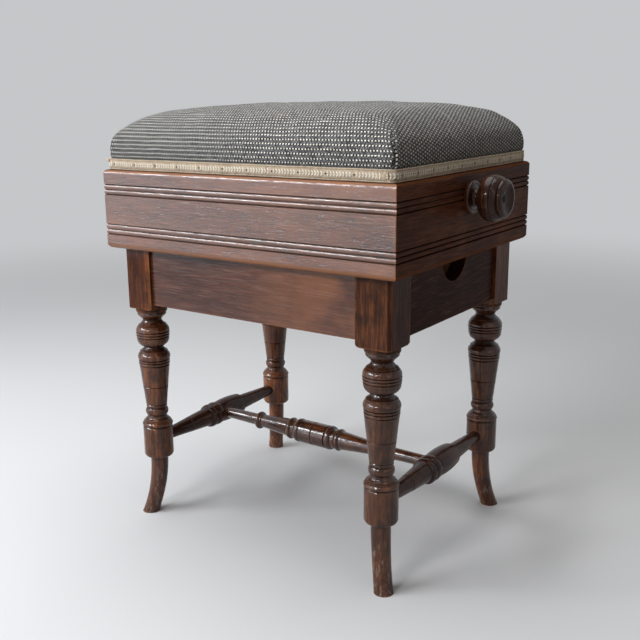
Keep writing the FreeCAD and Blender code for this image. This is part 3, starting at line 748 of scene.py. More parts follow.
def rows_of(items: bpy.types.bpy_prop_collection, key: str) -> np.ndarray:
    """Reads a vector of every vertex, one row each.

    Args:
        items: The mesh's vertices or vertex normals.
        key: Which vector is read.

    Returns:
        The vectors.
    """
    values = np.empty(len(items) * 3)
    items.foreach_get(key, values)
    return values.reshape(-1, 3)


def place_vertices(piece: Piece, places: np.ndarray) -> None:
    """Moves a piece's vertices to new places."""
    piece.data.vertices.foreach_set("co", places.ravel())
    piece.data.update()


def lay_map(piece: Piece, name: str, places: np.ndarray) -> None:
    """Gives a piece a map, with a row of places for each corner of each face."""
    piece.data.uv_layers.new(name=name).data.foreach_set("uv", places.ravel())


def belts(rings: int, count: int) -> np.ndarray:
    """Quads that join rings of vertices.

    Args:
        rings: Number of rings.
        count: Vertices in each.

    Returns:
        Vertex numbers by ring, place and corner. The last ring is joined to the first.
    """
    here = np.arange(rings * count).reshape(rings, count)
    there = np.roll(here, -1, axis=1)
    return np.stack([here, there, np.roll(there, -1, axis=0), np.roll(here, -1, axis=0)], axis=-1)


def lathe(name: str, outline: Sequence[Pair], segments: int, axis_height: float,
          material: Material) -> Piece:
    """Closed solid turned about a line along X.

    Args:
        name: The object's name.
        outline: Place along X and radius at each station, from low X to high X.
        segments: Faces round the axis.
        axis_height: Height of the line.
        material: The finish.

    Returns:
        The object.
    """
    angles = [2 * math.pi * index / segments for index in range(segments)]
    points = [(place, radius * math.cos(angle), axis_height + radius * math.sin(angle))
              for place, radius in outline for angle in angles]
    last = (len(outline) - 1) * segments
    faces = [range(segments)[::-1], *belts(len(outline), segments)[:-1].reshape(-1, 4).tolist(),
             range(last, last + segments)]
    piece = mesh_object(name, np.array(points), faces, material)
    for cap in (piece.data.polygons[0], piece.data.polygons[-1]):
        cap.use_smooth = False
    return piece


def both(*kinds: str) -> List[str]:
    """Names of the left and the right piece of each kind."""
    return [f"{kind}_{side}" for kind in kinds for side in ("left", "right")]


def dress(finish: Material, nodes: Iterable[str]) -> None:
    """Gives CAD nodes their finish.

    Args:
        finish: The finish.
        nodes: The nodes' names.
    """
    for node in nodes:
        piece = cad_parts[node]
        if not piece.material_slots:
            piece.data.materials.append(finish)
        for slot in piece.material_slots:
            slot.material = finish
        LOG.info("dressed %s in %s", node, finish.name)


def settle(piece: Piece, body: str, nodes: Sequence[str]) -> None:
    """Parents a new piece to its body and hides the CAD nodes that it stands for.

    Args:
        piece: The piece.
        body: The body that it rides on.
        nodes: The CAD nodes that it stands for.
    """
    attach(piece, body)
    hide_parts(*nodes)
    LOG.info("made %s on %s, %d faces", piece.name, body, len(piece.data.polygons))


class GeometryTree(Workbench):
    """A Geometry Nodes tree with named inputs, built for one modifier."""

    def __init__(self, name: str) -> None:
        """Starts a tree that takes and gives a geometry.

        Args:
            name: The tree's name.
        """
        super().__init__(bpy.data.node_groups.new(name, "GeometryNodeTree"))
        self.values: Dict[str, float] = {}
        for way in ("INPUT", "OUTPUT"):
            self.tree.interface.new_socket(name="Geometry", in_out=way,
                                           socket_type="NodeSocketGeometry")
        self.entry = self.node("NodeGroupInput")

    def size(self, name: str, value: float) -> Field:
        """Adds a named size to the tree's inputs.

        Args:
            name: The input's name.
            value: The size in metres.

        Returns:
            The size, for use in the tree.
        """
        socket = self.tree.interface.new_socket(name=name, in_out="INPUT",
                                                socket_type="NodeSocketFloat")
        self.values[socket.identifier] = value
        return Field(self.tree, self.entry.outputs[name])

    def vector(self, x: Number, y: Number, z: Number) -> Socket:
        """Joins three numbers into a vector."""
        return self.made("ShaderNodeCombineXYZ", {0: x, 1: y, 2: z})

    def moved(self, geometry: Socket, shift: Union[Socket, Place] = NO_TURN,
              turn: Place = NO_TURN, scale: Union[Socket, Place] = (1.0, 1.0, 1.0)) -> Socket:
        """Scales, turns and shifts a geometry."""
        return self.made("GeometryNodeTransform", {
            "Geometry": geometry, "Translation": shift, "Rotation": turn, "Scale": scale})

    def ball(self, kind: str, detail: Dict[str, int], size: Union[Socket, Place]) -> Socket:
        """Makes a ball of the given mesh node, stretched to its half sizes."""
        return self.moved(self.made(kind, {"Radius": 1.0, **detail}), scale=size)

    def wire(self, sides: int, radius: Number) -> Socket:
        """Round profile for a cord or a ridge."""
        return self.made("GeometryNodeCurvePrimitiveCircle", {
            "Resolution": sides, "Radius": radius})

    def swept(self, curve: Socket, profile: Socket) -> Socket:
        """Closed solid that a profile makes along a curve."""
        return self.made("GeometryNodeCurveToMesh", {
            "Curve": curve, "Profile Curve": profile, "Fill Caps": True})

    def upright(self, curve: Socket) -> Socket:
        """Stands a curve's normals upright."""
        return self.made("GeometryNodeSetCurveNormal", {0: curve}, mode="Z_UP")

    def joined(self, parts: Sequence[Socket]) -> Socket:
        """Puts several geometries together.

        Args:
            parts: The geometries.

        Returns:
            All of them as one.
        """
        node = self.node("GeometryNodeJoinGeometry")
        for part in parts:
            self.tree.links.new(part, node.inputs[0])
        return node.outputs[0]

    def finished(self, geometry: Socket, material: Material) -> Socket:
        """Realizes instances, shades them smooth and sets their finish.

        Args:
            geometry: The geometry.
            material: The finish.

        Returns:
            The geometry, ready to be kept.
        """
        real = self.made("GeometryNodeRealizeInstances", {0: geometry})
        smooth = self.made("GeometryNodeSetShadeSmooth", {"Geometry": real})
        return self.made("GeometryNodeSetMaterial", {"Geometry": smooth, "Material": material})

    def apply(self, piece: Piece, result: Socket) -> Piece:
        """Runs the tree on a piece and keeps the result as its mesh.

        Args:
            piece: The object whose mesh goes into the tree.
            result: The geometry that the tree gives.

        Returns:
            The same object, with no modifier left.
        """
        self.node("NodeGroupOutput", {0: result})
        modifier = piece.modifiers.new(self.tree.name, "NODES")
        modifier.node_group = self.tree
        for identifier, value in self.values.items():
            modifier[identifier] = value
        return plain_mesh(piece)


@dataclass
class LowerFrame:
    """Legs, rails, stretchers and bearers that stand on the floor."""

    dull_foot_height: float = 0.080
    post_from: float = 0.268
    # Painted light: each leg's colours are scaled to stand for how much light falls on it, the
    # near leg darker and the far legs lighter.
    leg_tones: Tuple[Tuple[str, float], ...] = (
        ("leg_front_right", 0.85), ("leg_front_left", 1.45), ("leg_rear_left", 1.95),
        ("leg_rear_right", 1.70))
    turned: PolishedWood = PolishedWood(
        "turned_mahogany", Grain.ALONG_Z, dark=(0.011, 0.0030, 0.0016),
        middle=(0.062, 0.0180, 0.0066), light=(0.240, 0.080, 0.021), roughness=0.38,
        specular=0.03, coat=0.80, coat_roughness=0.05, hollow_reach=0.012, figure_light=0.08,
        contrast=0.78, blotch=0.65)

    def legs(self) -> None:
        """Dresses each leg in its own lighter or darker copy of the finish, with a dull foot and
        a flatter post; the copies paint the light that falls on each leg.
        """
        for name, light_level in self.leg_tones:
            # Painted light: scales this leg's colours by its light level.
            dark, middle, light = (
                tuple(light_level * part for part in tone)
                for tone in (self.turned.dark, self.turned.middle, self.turned.light))
            leg = replace(self.turned, name=f"{name}_mahogany", dark=dark, middle=middle,
                          light=light, dull_below=self.dull_foot_height,
                          upper_coat=0.24, upper_from=self.post_from)
            dress(leg.build(), [name])

    def rails(self) -> None:
        """Dresses the rails; the end rails get a much darker copy that paints the shade under the
        box.
        """
        along_x = PolishedWood(
            "rail_mahogany", Grain.ALONG_X, dark=(0.022, 0.0072, 0.0050),
            middle=(0.070, 0.023, 0.0145), light=(0.16, 0.056, 0.030), roughness=0.38,
            specular=0.03, coat=0.80, coat_roughness=0.12, warm_from=-0.06, contrast=0.85)
        dress(along_x.build(), ["rail_front", "rail_rear"])
        # Painted shade: the end rails' very dark colours stand for the shade of the box above
        # them.
        along_y = PolishedWood(
            "end_rail_mahogany", Grain.ALONG_Y, dark=(0.010, 0.0030, 0.0020),
            middle=(0.030, 0.0090, 0.0048), light=(0.070, 0.023, 0.0105), roughness=0.42,
            specular=0.03, coat=0.03)
        dress(along_y.build(), both("rail"))

    def stretchers(self) -> None:
        """Dresses the side stretchers in a darker copy that paints their shade, and the middle
        one that shines most.
        """
        # Painted shade: darker colours for the side stretchers, standing for the shade they are
        # in.
        side = replace(self.turned, name="side_stretcher_mahogany", grain=Grain.ALONG_Y,
                       middle=(0.038, 0.0110, 0.0050), light=(0.13, 0.045, 0.016), coat=0.55)
        dress(side.build(), both("stretcher"))
        middle = replace(self.turned, name="middle_stretcher_mahogany", grain=Grain.ALONG_X,
                         roughness=0.24, specular=0.25, coat=1.0, coat_roughness=0.07)
        dress(middle.build(), ["stretcher_middle"])

    def build(self) -> None:
        """Dresses the frame's CAD nodes."""
        self.legs()
        self.rails()
        self.stretchers()
        dress(BareWood("bearer_pine", Grain.ALONG_Y).build(), both("bearer"))


@dataclass
class SeatBox:
    """The reeded box, with the board and cleats inside it."""

    ledge_depth: float = 0.0032
    fillet_wear: float = 0.0052

    def build(self) -> None:
        """Dresses the box's CAD nodes."""
        low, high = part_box("box_front")
        front = PolishedWood(
            "long_board_mahogany", Grain.ALONG_X, roughness=0.36, specular=0.5, coat=1.0,
            coat_roughness=0.15, warm_from=-0.04, figure_light=0.30, contrast=1.5, broken=0.52,
            relief=0.5, hollow_dark=0.75, bare_above=high.z - self.ledge_depth,
            bare_below=low.z + self.fillet_wear, braid_shadow_at=high.z)
        dress(front.build(), ["box_front", "box_rear"])
        # Painted shade: the end boards' darker colours stand for the shade on that side; they
        # also get less gloss.
        end = replace(
            front, name="end_board_mahogany", grain=Grain.ALONG_Y, dark=(0.020, 0.0056, 0.0030),
            middle=(0.066, 0.0172, 0.0058), light=(0.165, 0.052, 0.014),
            worn=(0.145, 0.048, 0.014), roughness=0.44, specular=0.03, coat=0.05,
            coat_roughness=0.20, wear=0.4, warm_from=None, figure_light=0.20, contrast=1.0,
            broken=0.0, relief=0.35)
        dress(end.build(), both("box"))
        dress(BareWood("seat_board_pine", Grain.ALONG_X).build(), ["seat_board", "seat_cleats"])
        rosette = PolishedWood(
            "rosette_mahogany", Grain.ALONG_Y, middle=(0.060, 0.019, 0.010),
            light=(0.14, 0.048, 0.020), roughness=0.30, specular=0.08, coat=0.40,
            coat_roughness=0.05, wear=0.3)
        dress(rosette.build(), both("rosette"))


@dataclass
class LiftingGear:
    """Screw, nuts, arms and irons that raise the seat, and the knobs that turn it."""

    thread_pitch: float = 0.004
    thread_start: float = 0.078
    thread_end: float = 0.156
    thread_depth: float = 0.0009
    spigot_radius: float = 0.005
    spigot_length: float = 0.020
    chamfer: float = 0.0006
    rod_segments: int = 40
    turn_steps: int = 20
    ridge_sides: int = 4

    def rod(self, height: float, radius: float, root: float, steel: Material) -> Piece:
        """Turns the plain rod, thinned where its threads are cut and at its ends.

        Args:
            height: Height of its axis.
            radius: Its radius.
            root: Its radius under the threads.
            steel: Its finish.

        Returns:
            The rod's object.
        """
        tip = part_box("screw_shaft")[1].x
        spigot, bevel = self.spigot_radius, self.chamfer
        shoulder = tip - self.spigot_length
        half = [(0.0, radius), (self.thread_start, radius), (self.thread_start, root),
                (self.thread_end, root), (self.thread_end, radius), (shoulder - bevel, radius),
                (shoulder, radius - bevel), (shoulder, spigot), (tip - bevel, spigot),
                (tip, spigot - bevel)]
        outline = [(-place, size) for place, size in half[:0:-1]] + half
        return lathe("lifting_screw", outline, self.rod_segments, height, steel)

    def screw(self, steel: Material) -> Piece:
        """Makes the threaded rod, left-handed on one side and right-handed on the other.

        Args:
            steel: Its finish.

        Returns:
            The rod's object.
        """
        low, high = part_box("screw_shaft")
        height = (low.z + high.z) / 2
        radius = (high.z - low.z) / 2
        root = radius - self.thread_depth
        tree = GeometryTree("screw_thread")
        pitch = tree.size("Pitch", self.thread_pitch)
        length = tree.size("Length", self.thread_end - self.thread_start)
        root_radius = tree.size("Root radius", root)
        depth = tree.size("Depth", self.thread_depth)
        turns = length.step("DIVIDE", pitch)
        profile = tree.wire(self.ridge_sides, depth)
        parts = [tree.entry.outputs[0]]
        for start, reverse in ((-self.thread_end, False), (self.thread_start, True)):
            helix = tree.made("GeometryNodeCurveSpiral", {
                "Resolution": self.turn_steps, "Rotations": turns, "Start Radius": root_radius,
                "End Radius": root_radius, "Height": length, "Reverse": reverse})
            ridge = tree.swept(tree.upright(helix), profile)
            shift = tree.vector(start, 0.0, height)
            parts.append(tree.moved(ridge, shift, (0.0, math.pi / 2, 0.0)))
        rod = self.rod(height, radius, root, steel)
        return tree.apply(rod, tree.finished(tree.joined(parts), steel))

    def irons(self) -> Material:
        """Dresses the metal parts.

        Returns:
            The steel, for the screw.
        """
        steel = OldMetal("aged_steel", (0.42, 0.40, 0.38), (0.17, 0.155, 0.14), roughness=0.38,
                         hammered=0.2).build()
        iron = OldMetal("black_iron", (0.085, 0.080, 0.076), (0.030, 0.028, 0.027),
                        roughness=0.55)
        bronze = OldMetal("gunmetal", (0.46, 0.31, 0.13), (0.19, 0.12, 0.055),
                          rust=(0.06, 0.09, 0.06), rust_share=0.25, roughness=0.36,
                          hammered=0.25)
        dress(steel, [*both("pivot_rod", "nut_washers"), "pivot_washers", "thrust_collars",
                      "bracket_screws", "seat_screws", "bearing_plate_screws", "collar_screws"])
        dress(iron.build(), both("bracket", "bearing_plate", "arm_front_from", "arm_rear_from"))
        dress(bronze.build(), both("nut"))
        return steel

    def knobs(self) -> None:
        """Dresses the knobs and their darker buttons."""
        knob = PolishedWood(
            "knob_mahogany", Grain.ALONG_Z, dark=(0.008, 0.0026, 0.0018),
            middle=(0.028, 0.0080, 0.0036), light=(0.100, 0.031, 0.010), roughness=0.28,
            specular=0.02, coat=0.40, coat_roughness=0.03, wear=0.25)
        dress(knob.build(), both("knob"))
        button = replace(knob, name="button_mahogany", dark=(0.003, 0.002, 0.002),
                         middle=(0.009, 0.005, 0.004), light=(0.024, 0.012, 0.008), coat=0.25)
        dress(button.build(), ["knob_buttons"])

    def build(self) -> None:
        """Makes the screw and dresses the rest of the gear."""
        steel = self.irons()
        self.knobs()
        settle(self.screw(steel), "screw", ["screw_shaft"])


@dataclass(frozen=True)
class Stretch:
    """How the seat cloth gives as it is filled, by the names of the cloth's settings."""

    quality: int = 6
    mass: float = 0.35
    tension_stiffness: float = 25.0
    compression_stiffness: float = 18.0
    shear_stiffness: float = 8.0
    bending_stiffness: float = 0.6
    use_pressure: bool = True
    uniform_pressure_force: float = 4.0
    shrink_min: float = -0.012
    vertex_group_mass: str = "held"


@dataclass
class Cushion:
    """Crowned seat pad in woven cloth, drawn down at its edge and pleated at its corners.

    The pad is rings of vertices from its foot up to its rim, closed by a crown and a sole.
    Levels are rise and inset as shares of its height, and folds are height, place and width.
    """

    cloth: Material
    map_name: str
    levels: Tuple[Pair, ...] = (
        (0.0, 0.0), (0.13, -0.015), (0.27, 0.002), (0.43, 0.050), (0.57, 0.158), (0.70, 0.309),
        (0.81, 0.504), (0.89, 0.776), (0.94, 1.161), (0.975, 1.608), (0.995, 2.057), (1.0, 2.471))
    corner: float = 0.005
    corner_share: float = 0.6
    corner_limit: float = 0.8
    cells_x: int = 92
    cells_y: int = 76
    crowding: float = 0.3
    halvings: int = 40
    profile_points: int = 400
    rings: int = 17
    rim_level: float = 0.80
    skirt_thickness: float = 0.0009
    skirt_corner: float = 0.002
    held_height: float = 0.001
    free_height: float = 0.012
    start_inset: float = 0.0012
    most_swell: float = 0.0020
    most_sunk: float = 0.0004
    frames: int = 20
    stretch: Stretch = Stretch()
    folds: Tuple[Tuple[float, float, float], ...] = (
        (-0.0026, 0.0, 0.0016), (0.0013, -0.0042, 0.0026), (0.0009, 0.010, 0.006))
    fold_height: float = 0.044
    fold_fade: float = 0.026
    fold_reach: float = 0.045
    fold_lean: float = 0.10
    tack_pitch: float = 0.032
    tack_margin: float = 0.0104
    tack_pull: float = 0.0007
    tack_reach: float = 0.0045
    tack_depth: float = 0.006
    smooth_height: float = 0.003
    lumpy_height: float = 0.020
    lump_height: float = 0.0011
    lump_scale: float = 26.0
    ripple_height: float = 0.00035
    ripple_scale: Place = (75.0, 75.0, 60.0)

    def __post_init__(self) -> None:
        """Reads the pad's place from the frame."""
        low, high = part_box("cushion_cover")
        self.foot = low.z
        self.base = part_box("seat_board")[1].z
        self.height = high.z - self.base
        bulge = -min(share for _, share in self.levels) * self.height
        self.half_x = high.x - bulge
        self.half_y = high.y - bulge
        curve = self.profile(np.array(self.levels), self.profile_points)
        self.rise, self.inset = curve.T * self.height

    @staticmethod
    def profile(points: np.ndarray, count: int) -> np.ndarray:
        """Smooth curve through given points.

        Args:
            points: The points, one row each.
            count: Number of places wanted along the curve.

        Returns:
            The places, one row each.
        """
        stations = np.linspace(0, len(points) - 1, count)
        first = np.clip(np.floor(stations).astype(int), 0, len(points) - 2)
        t = (stations - first)[:, None]
        before = points[np.maximum(first - 1, 0)]
        here = points[first]
        there = points[first + 1]
        after = points[np.minimum(first + 2, len(points) - 1)]
        return 0.5 * (2 * here + (there - before) * t
                      + (2 * before - 5 * here + 4 * there - after) * t ** 2
                      + (3 * here - before - 3 * there + after) * t ** 3)

    def radius(self, inset: np.ndarray) -> np.ndarray:
        """Corner radius of the pad's outline at an inset."""
        grown = self.corner + np.maximum(inset, 0) * self.corner_share
        return np.minimum(grown, self.corner_limit * np.maximum(self.half_y - inset, 1e-4))

    def graded(self, cells: int) -> np.ndarray:
        """Stations from -1 to 1 that lie closer together towards the corners."""
        t = np.linspace(-1, 1, cells + 1)
        return (1 + self.crowding) * t - self.crowding * t ** 3

    def ring(self, inset: float) -> np.ndarray:
        """Outline at an inset, walked from the front left corner along the front.

        Args:
            inset: Distance in from the foot of the pad.

        Returns:
            One row of X and Y for each vertex.
        """
        corner = float(self.radius(np.array(inset)))
        hx, hy = self.half_x - inset, self.half_y - inset
        tuck = corner * (1 - DIAGONAL)

        def side(along: float, out: float, cells: int) -> Tuple[np.ndarray, np.ndarray]:
            """Walks one side with half of the corner at each end.

            Args:
                along: Half the side's length.
                out: Distance of the side from the middle.
                cells: Number of places.

            Returns:
                The places along the side and their distances out.
            """
            place = (along - tuck) * self.graded(cells)[:-1]
            over = np.maximum(np.abs(place) - (along - corner), 0)
            return place, out - corner + np.sqrt(np.maximum(corner ** 2 - over ** 2, 0))

        x, y = side(hx, hy, self.cells_x)
        front = np.stack([x, -y], 1)
        y, x = side(hy, hx, self.cells_y)
        right = np.stack([x, y], 1)
        return np.concatenate([front, right, -front, -right])

    def sheet(self, outline: np.ndarray) -> np.ndarray:
        """Grid that fills an outline.

        Args:
            outline: One row of X and Y for each vertex, as ring gives it.

        Returns:
            X and Y of each place of the grid, by row and column.
        """
        nx, ny = self.cells_x, self.cells_y
        closed = np.concatenate([outline, outline[:1]])
        front = closed[:nx + 1]
        right = closed[nx:nx + ny + 1]
        rear = closed[nx + ny:2 * nx + ny + 1][::-1]
        left = closed[2 * nx + ny:][::-1]
        u = ((self.graded(nx) + 1) / 2)[None, :, None]
        v = ((self.graded(ny) + 1) / 2)[:, None, None]
        return ((1 - v) * front[None] + v * rear[None] + (1 - u) * left[:, None]
                + u * right[:, None] - (1 - u) * (1 - v) * front[0] - u * (1 - v) * front[-1]
                - (1 - u) * v * rear[0] - u * v * rear[-1])

    def inset_of(self, x: np.ndarray, y: np.ndarray) -> np.ndarray:
        """Inset of the outline that passes through each point, by halving.

        Args:
            x: The points' places along the front.
            y: The points' places across it.

        Returns:
            The insets.
        """
        low = np.zeros_like(x)
        high = np.full_like(x, self.half_y)
        for _ in range(self.halvings):
            middle = (low + high) / 2
            corner = self.radius(middle)
            qx = np.abs(x) - (self.half_x - middle - corner)
            qy = np.abs(y) - (self.half_y - middle - corner)
            reach = np.hypot(np.maximum(qx, 0), np.maximum(qy, 0))
            outside = reach + np.minimum(np.maximum(qx, qy), 0) - corner > 0
            high = np.where(outside, middle, high)
            low = np.where(outside, low, middle)
        return (low + high) / 2

    def grids(self, last: int, start: int) -> np.ndarray:
        """Numbers the vertices of the crown and the sole.

        Args:
            last: Number of the top ring's first vertex.
            start: Number of the first vertex inside the crown's edge.

        Returns:
            Vertex numbers by layer, row and column.
        """
        nx, ny = self.cells_x, self.cells_y
        loop = np.arange(2 * (nx + ny) + 1) % (2 * (nx + ny))
        edge = np.zeros((ny + 1, nx + 1), int)
        edge[0] = loop[:nx + 1]
        edge[:, nx] = loop[nx:nx + ny + 1]
        edge[ny, ::-1] = loop[nx + ny:2 * nx + ny + 1]
        edge[::-1, 0] = loop[2 * nx + ny:]
        table = np.stack([edge + last, edge])
        inner = table[:, 1:-1, 1:-1]
        inner[...] = start + np.arange(inner.size).reshape(inner.shape)
        return table

    def shell(self) -> Piece:
        """Makes the closed pad and the cloth's map.

        Returns:
            The pad's object, before it is filled.
        """
        nx, ny = self.cells_x, self.cells_y
        count = 2 * (nx + ny)
        rise, inset = self.rise, self.inset
        lengths = np.concatenate([[0], np.cumsum(np.hypot(np.diff(rise), np.diff(inset)))])
        rim = np.interp(self.rim_level * self.height, rise, lengths)
        stations = np.linspace(0, rim, self.rings)
        depths = np.interp(stations, lengths, inset)
        plans = [self.ring(depth) for depth in depths]
        levels = self.base + np.interp(stations, lengths, rise)
        walls = [np.column_stack([plan, np.full(count, z)]) for plan, z in zip(plans, levels)]
        crown, sole = self.sheet(plans[-1])[1:-1, 1:-1], self.sheet(plans[0])[1:-1, 1:-1]
        order = np.argsort(inset, kind="stable")
        over = self.inset_of(crown[..., 0], crown[..., 1])
        heights = self.base + np.interp(over, inset[order], rise[order])
        inner = [np.dstack([plan, height]).reshape(-1, 3) for plan, height in (
            (crown, heights), (sole, np.full(heights.shape, self.base)))]
        places = np.concatenate(walls + inner)

        table = self.grids((self.rings - 1) * count, self.rings * count)
        sides = belts(self.rings, count)[:-1]
        a, b, c, d = table[:, :-1, :-1], table[:, :-1, 1:], table[:, 1:, 1:], table[:, 1:, :-1]
        top = np.stack([a[0], b[0], c[0], d[0]], axis=-1)
        bottom = np.stack([a[1], d[1], c[1], b[1]], axis=-1)
        lids = np.stack([top, bottom], axis=2)
        faces = np.concatenate([sides.reshape(-1, 4), lids.reshape(-1, 4)])
        pad = mesh_object("seat_cushion", places, faces.tolist(), self.cloth)

        # The map is the plan, let out on the walls by the length that they add to it.
        spare = (rim - stations) - (np.interp(rim, lengths, inset) - depths)
        more = np.stack([spare[:-1], spare[:-1], spare[1:], spare[1:]], axis=-1)
        outward = np.repeat([(0, -1), (1, 0), (0, 1), (-1, 0)], (nx, ny, nx, ny), axis=0)
        shift = more[:, None, :, None] * outward[None, :, None, :]
        plan = places[faces][..., :2]
        plan[:sides.size // 4] += shift.reshape(-1, 4, 2)
        lay_map(pad, self.map_name, plan)
        return pad

    def fill(self, pad: Piece) -> None:
        """Blows the cloth up from a slightly smaller form and lets it settle over the pad.

        Args:
            pad: The pad's object.
        """
        whole = rows_of(pad.data.vertices, "co")
        outward = rows_of(pad.data.vertex_normals, "vector")
        up = whole[:, 2] - self.base
        free = np.clip((up - self.held_height) / self.free_height, 0, 1)[:, None]
        start = whole - outward * self.start_inset * free
        place_vertices(pad, start)
        held = pad.vertex_groups.new(name=self.stretch.vertex_group_mass)
        held.add(np.nonzero(free[:, 0] == 0)[0].tolist(), 1.0, "REPLACE")
        modifier = pad.modifiers.new("Fill", "CLOTH")
        for name, value in vars(self.stretch).items():
            setattr(modifier.settings, name, value)
        modifier.settings.effector_weights.gravity = 0.0
        modifier.point_cache.frame_start = 1
        modifier.point_cache.frame_end = self.frames
        scene = bpy.context.scene
        for number in range(1, self.frames + 1):
            scene.frame_set(number)
        evaluated = pad.evaluated_get(bpy.context.evaluated_depsgraph_get())
        swollen = rows_of(evaluated.data.vertices, "co")
        pad.modifiers.clear()
        pad.vertex_groups.clear()
        scene.frame_set(1)
        shift = swollen - start
        size = np.maximum(np.linalg.norm(shift, axis=1, keepdims=True), 1e-9)
        filled = start + shift / size * np.minimum(size, self.most_swell)
        sunk = -((filled - whole) * outward).sum(1, keepdims=True)
        place_vertices(pad, filled + outward * np.maximum(sunk - self.most_sunk, 0))
        LOG.info("filled %s, most swell %.1f mm", pad.name, float(size.max()) / MM)

    def crease(self, pad: Piece) -> None:
        """Adds the corner pleats, the pull of the tacks and a hand-stuffed unevenness.

        Args:
            pad: The pad's object.
        """
        values = rows_of(pad.data.vertices, "co")
        x, y, z = values.T
        up = z - self.base
        near_x = self.half_x - np.abs(x)
        near_y = self.half_y - np.abs(y)
        high = np.clip((self.base + self.fold_height - z) / self.fold_fade, 0, 1)
        fade = high * high * (3 - 2 * high) * np.clip(up / MM, 0, 1)
        close = np.exp(-(np.minimum(near_x, near_y) / self.fold_reach) ** 2)
        lean = near_x - near_y + up * self.fold_lean
        push = sum(height * np.exp(-((lean - place) / width) ** 2)
                   for height, place, width in self.folds) * fade * close
        values[:, 0] += np.sign(x) * push * DIAGONAL
        values[:, 1] += np.sign(y) * push * DIAGONAL
        foot = np.exp(-np.maximum(up, 0) / self.tack_reach) * np.clip(up / (0.8 * MM), 0, 1)
        for axis, near, other, half in ((1, near_y, x, self.half_x), (0, near_x, y, self.half_y)):
            reach = half - self.tack_margin
            pitch = 2 * reach / round(2 * reach / self.tack_pitch)
            scallop = (1 + np.cos((other - reach) * 2 * math.pi / pitch)) / 2
            pull = scallop * (near < self.tack_depth) * foot * self.tack_pull
            values[:, axis] -= np.sign(values[:, axis]) * pull
        lumps, small = (np.array([noise.noise(Vector(place)) for place in places])
                        for places in (values * self.lump_scale,
                                       values * self.ripple_scale + (0.0, 0.0, 7.0)))
        free = np.clip((up - self.smooth_height) / self.lumpy_height, 0, 1)
        swell = (lumps * self.lump_height + small * self.ripple_height) * free
        values += rows_of(pad.data.vertex_normals, "vector") * swell[:, None]
        place_vertices(pad, values)

    def skirt(self) -> Piece:
        """Makes the cloth that turns down over the edge of the seat board.

        Returns:
            The skirt's object.
        """
        outer = self.ring(0.0)
        inner = self.ring(self.skirt_thickness)
        count = len(outer)
        low, high = self.foot, self.base + 0.1 * MM
        rows = [(outer, low), (outer, high), (inner, high), (inner, low)]
        points = np.concatenate([np.column_stack([plan, np.full(count, z)]) for plan, z in rows])
        faces = belts(len(rows), count).reshape(-1, 4)
        piece = mesh_object("seat_cloth_skirt", points, faces.tolist(), self.cloth)
        x, y, z = points[faces].reshape(-1, 3).T
        long_side = np.abs(y) > self.half_y - self.skirt_corner
        lay_map(piece, self.map_name, np.where(long_side, (x, z), (z, y)).T)
        return piece

    def build(self) -> None:
        pad = self.shell()
        self.fill(pad)
        divide = pad.modifiers.new("Smooth", "SUBSURF")
        divide.levels = 1
        divide.render_levels = 1
        plain_mesh(pad)
        self.crease(pad)
        settle(pad, "seat_box", ["cushion_cover", "cushion_stuffing"])
        skirt = self.skirt()
        settle(skirt, "seat_box", ["cushion_cover"])


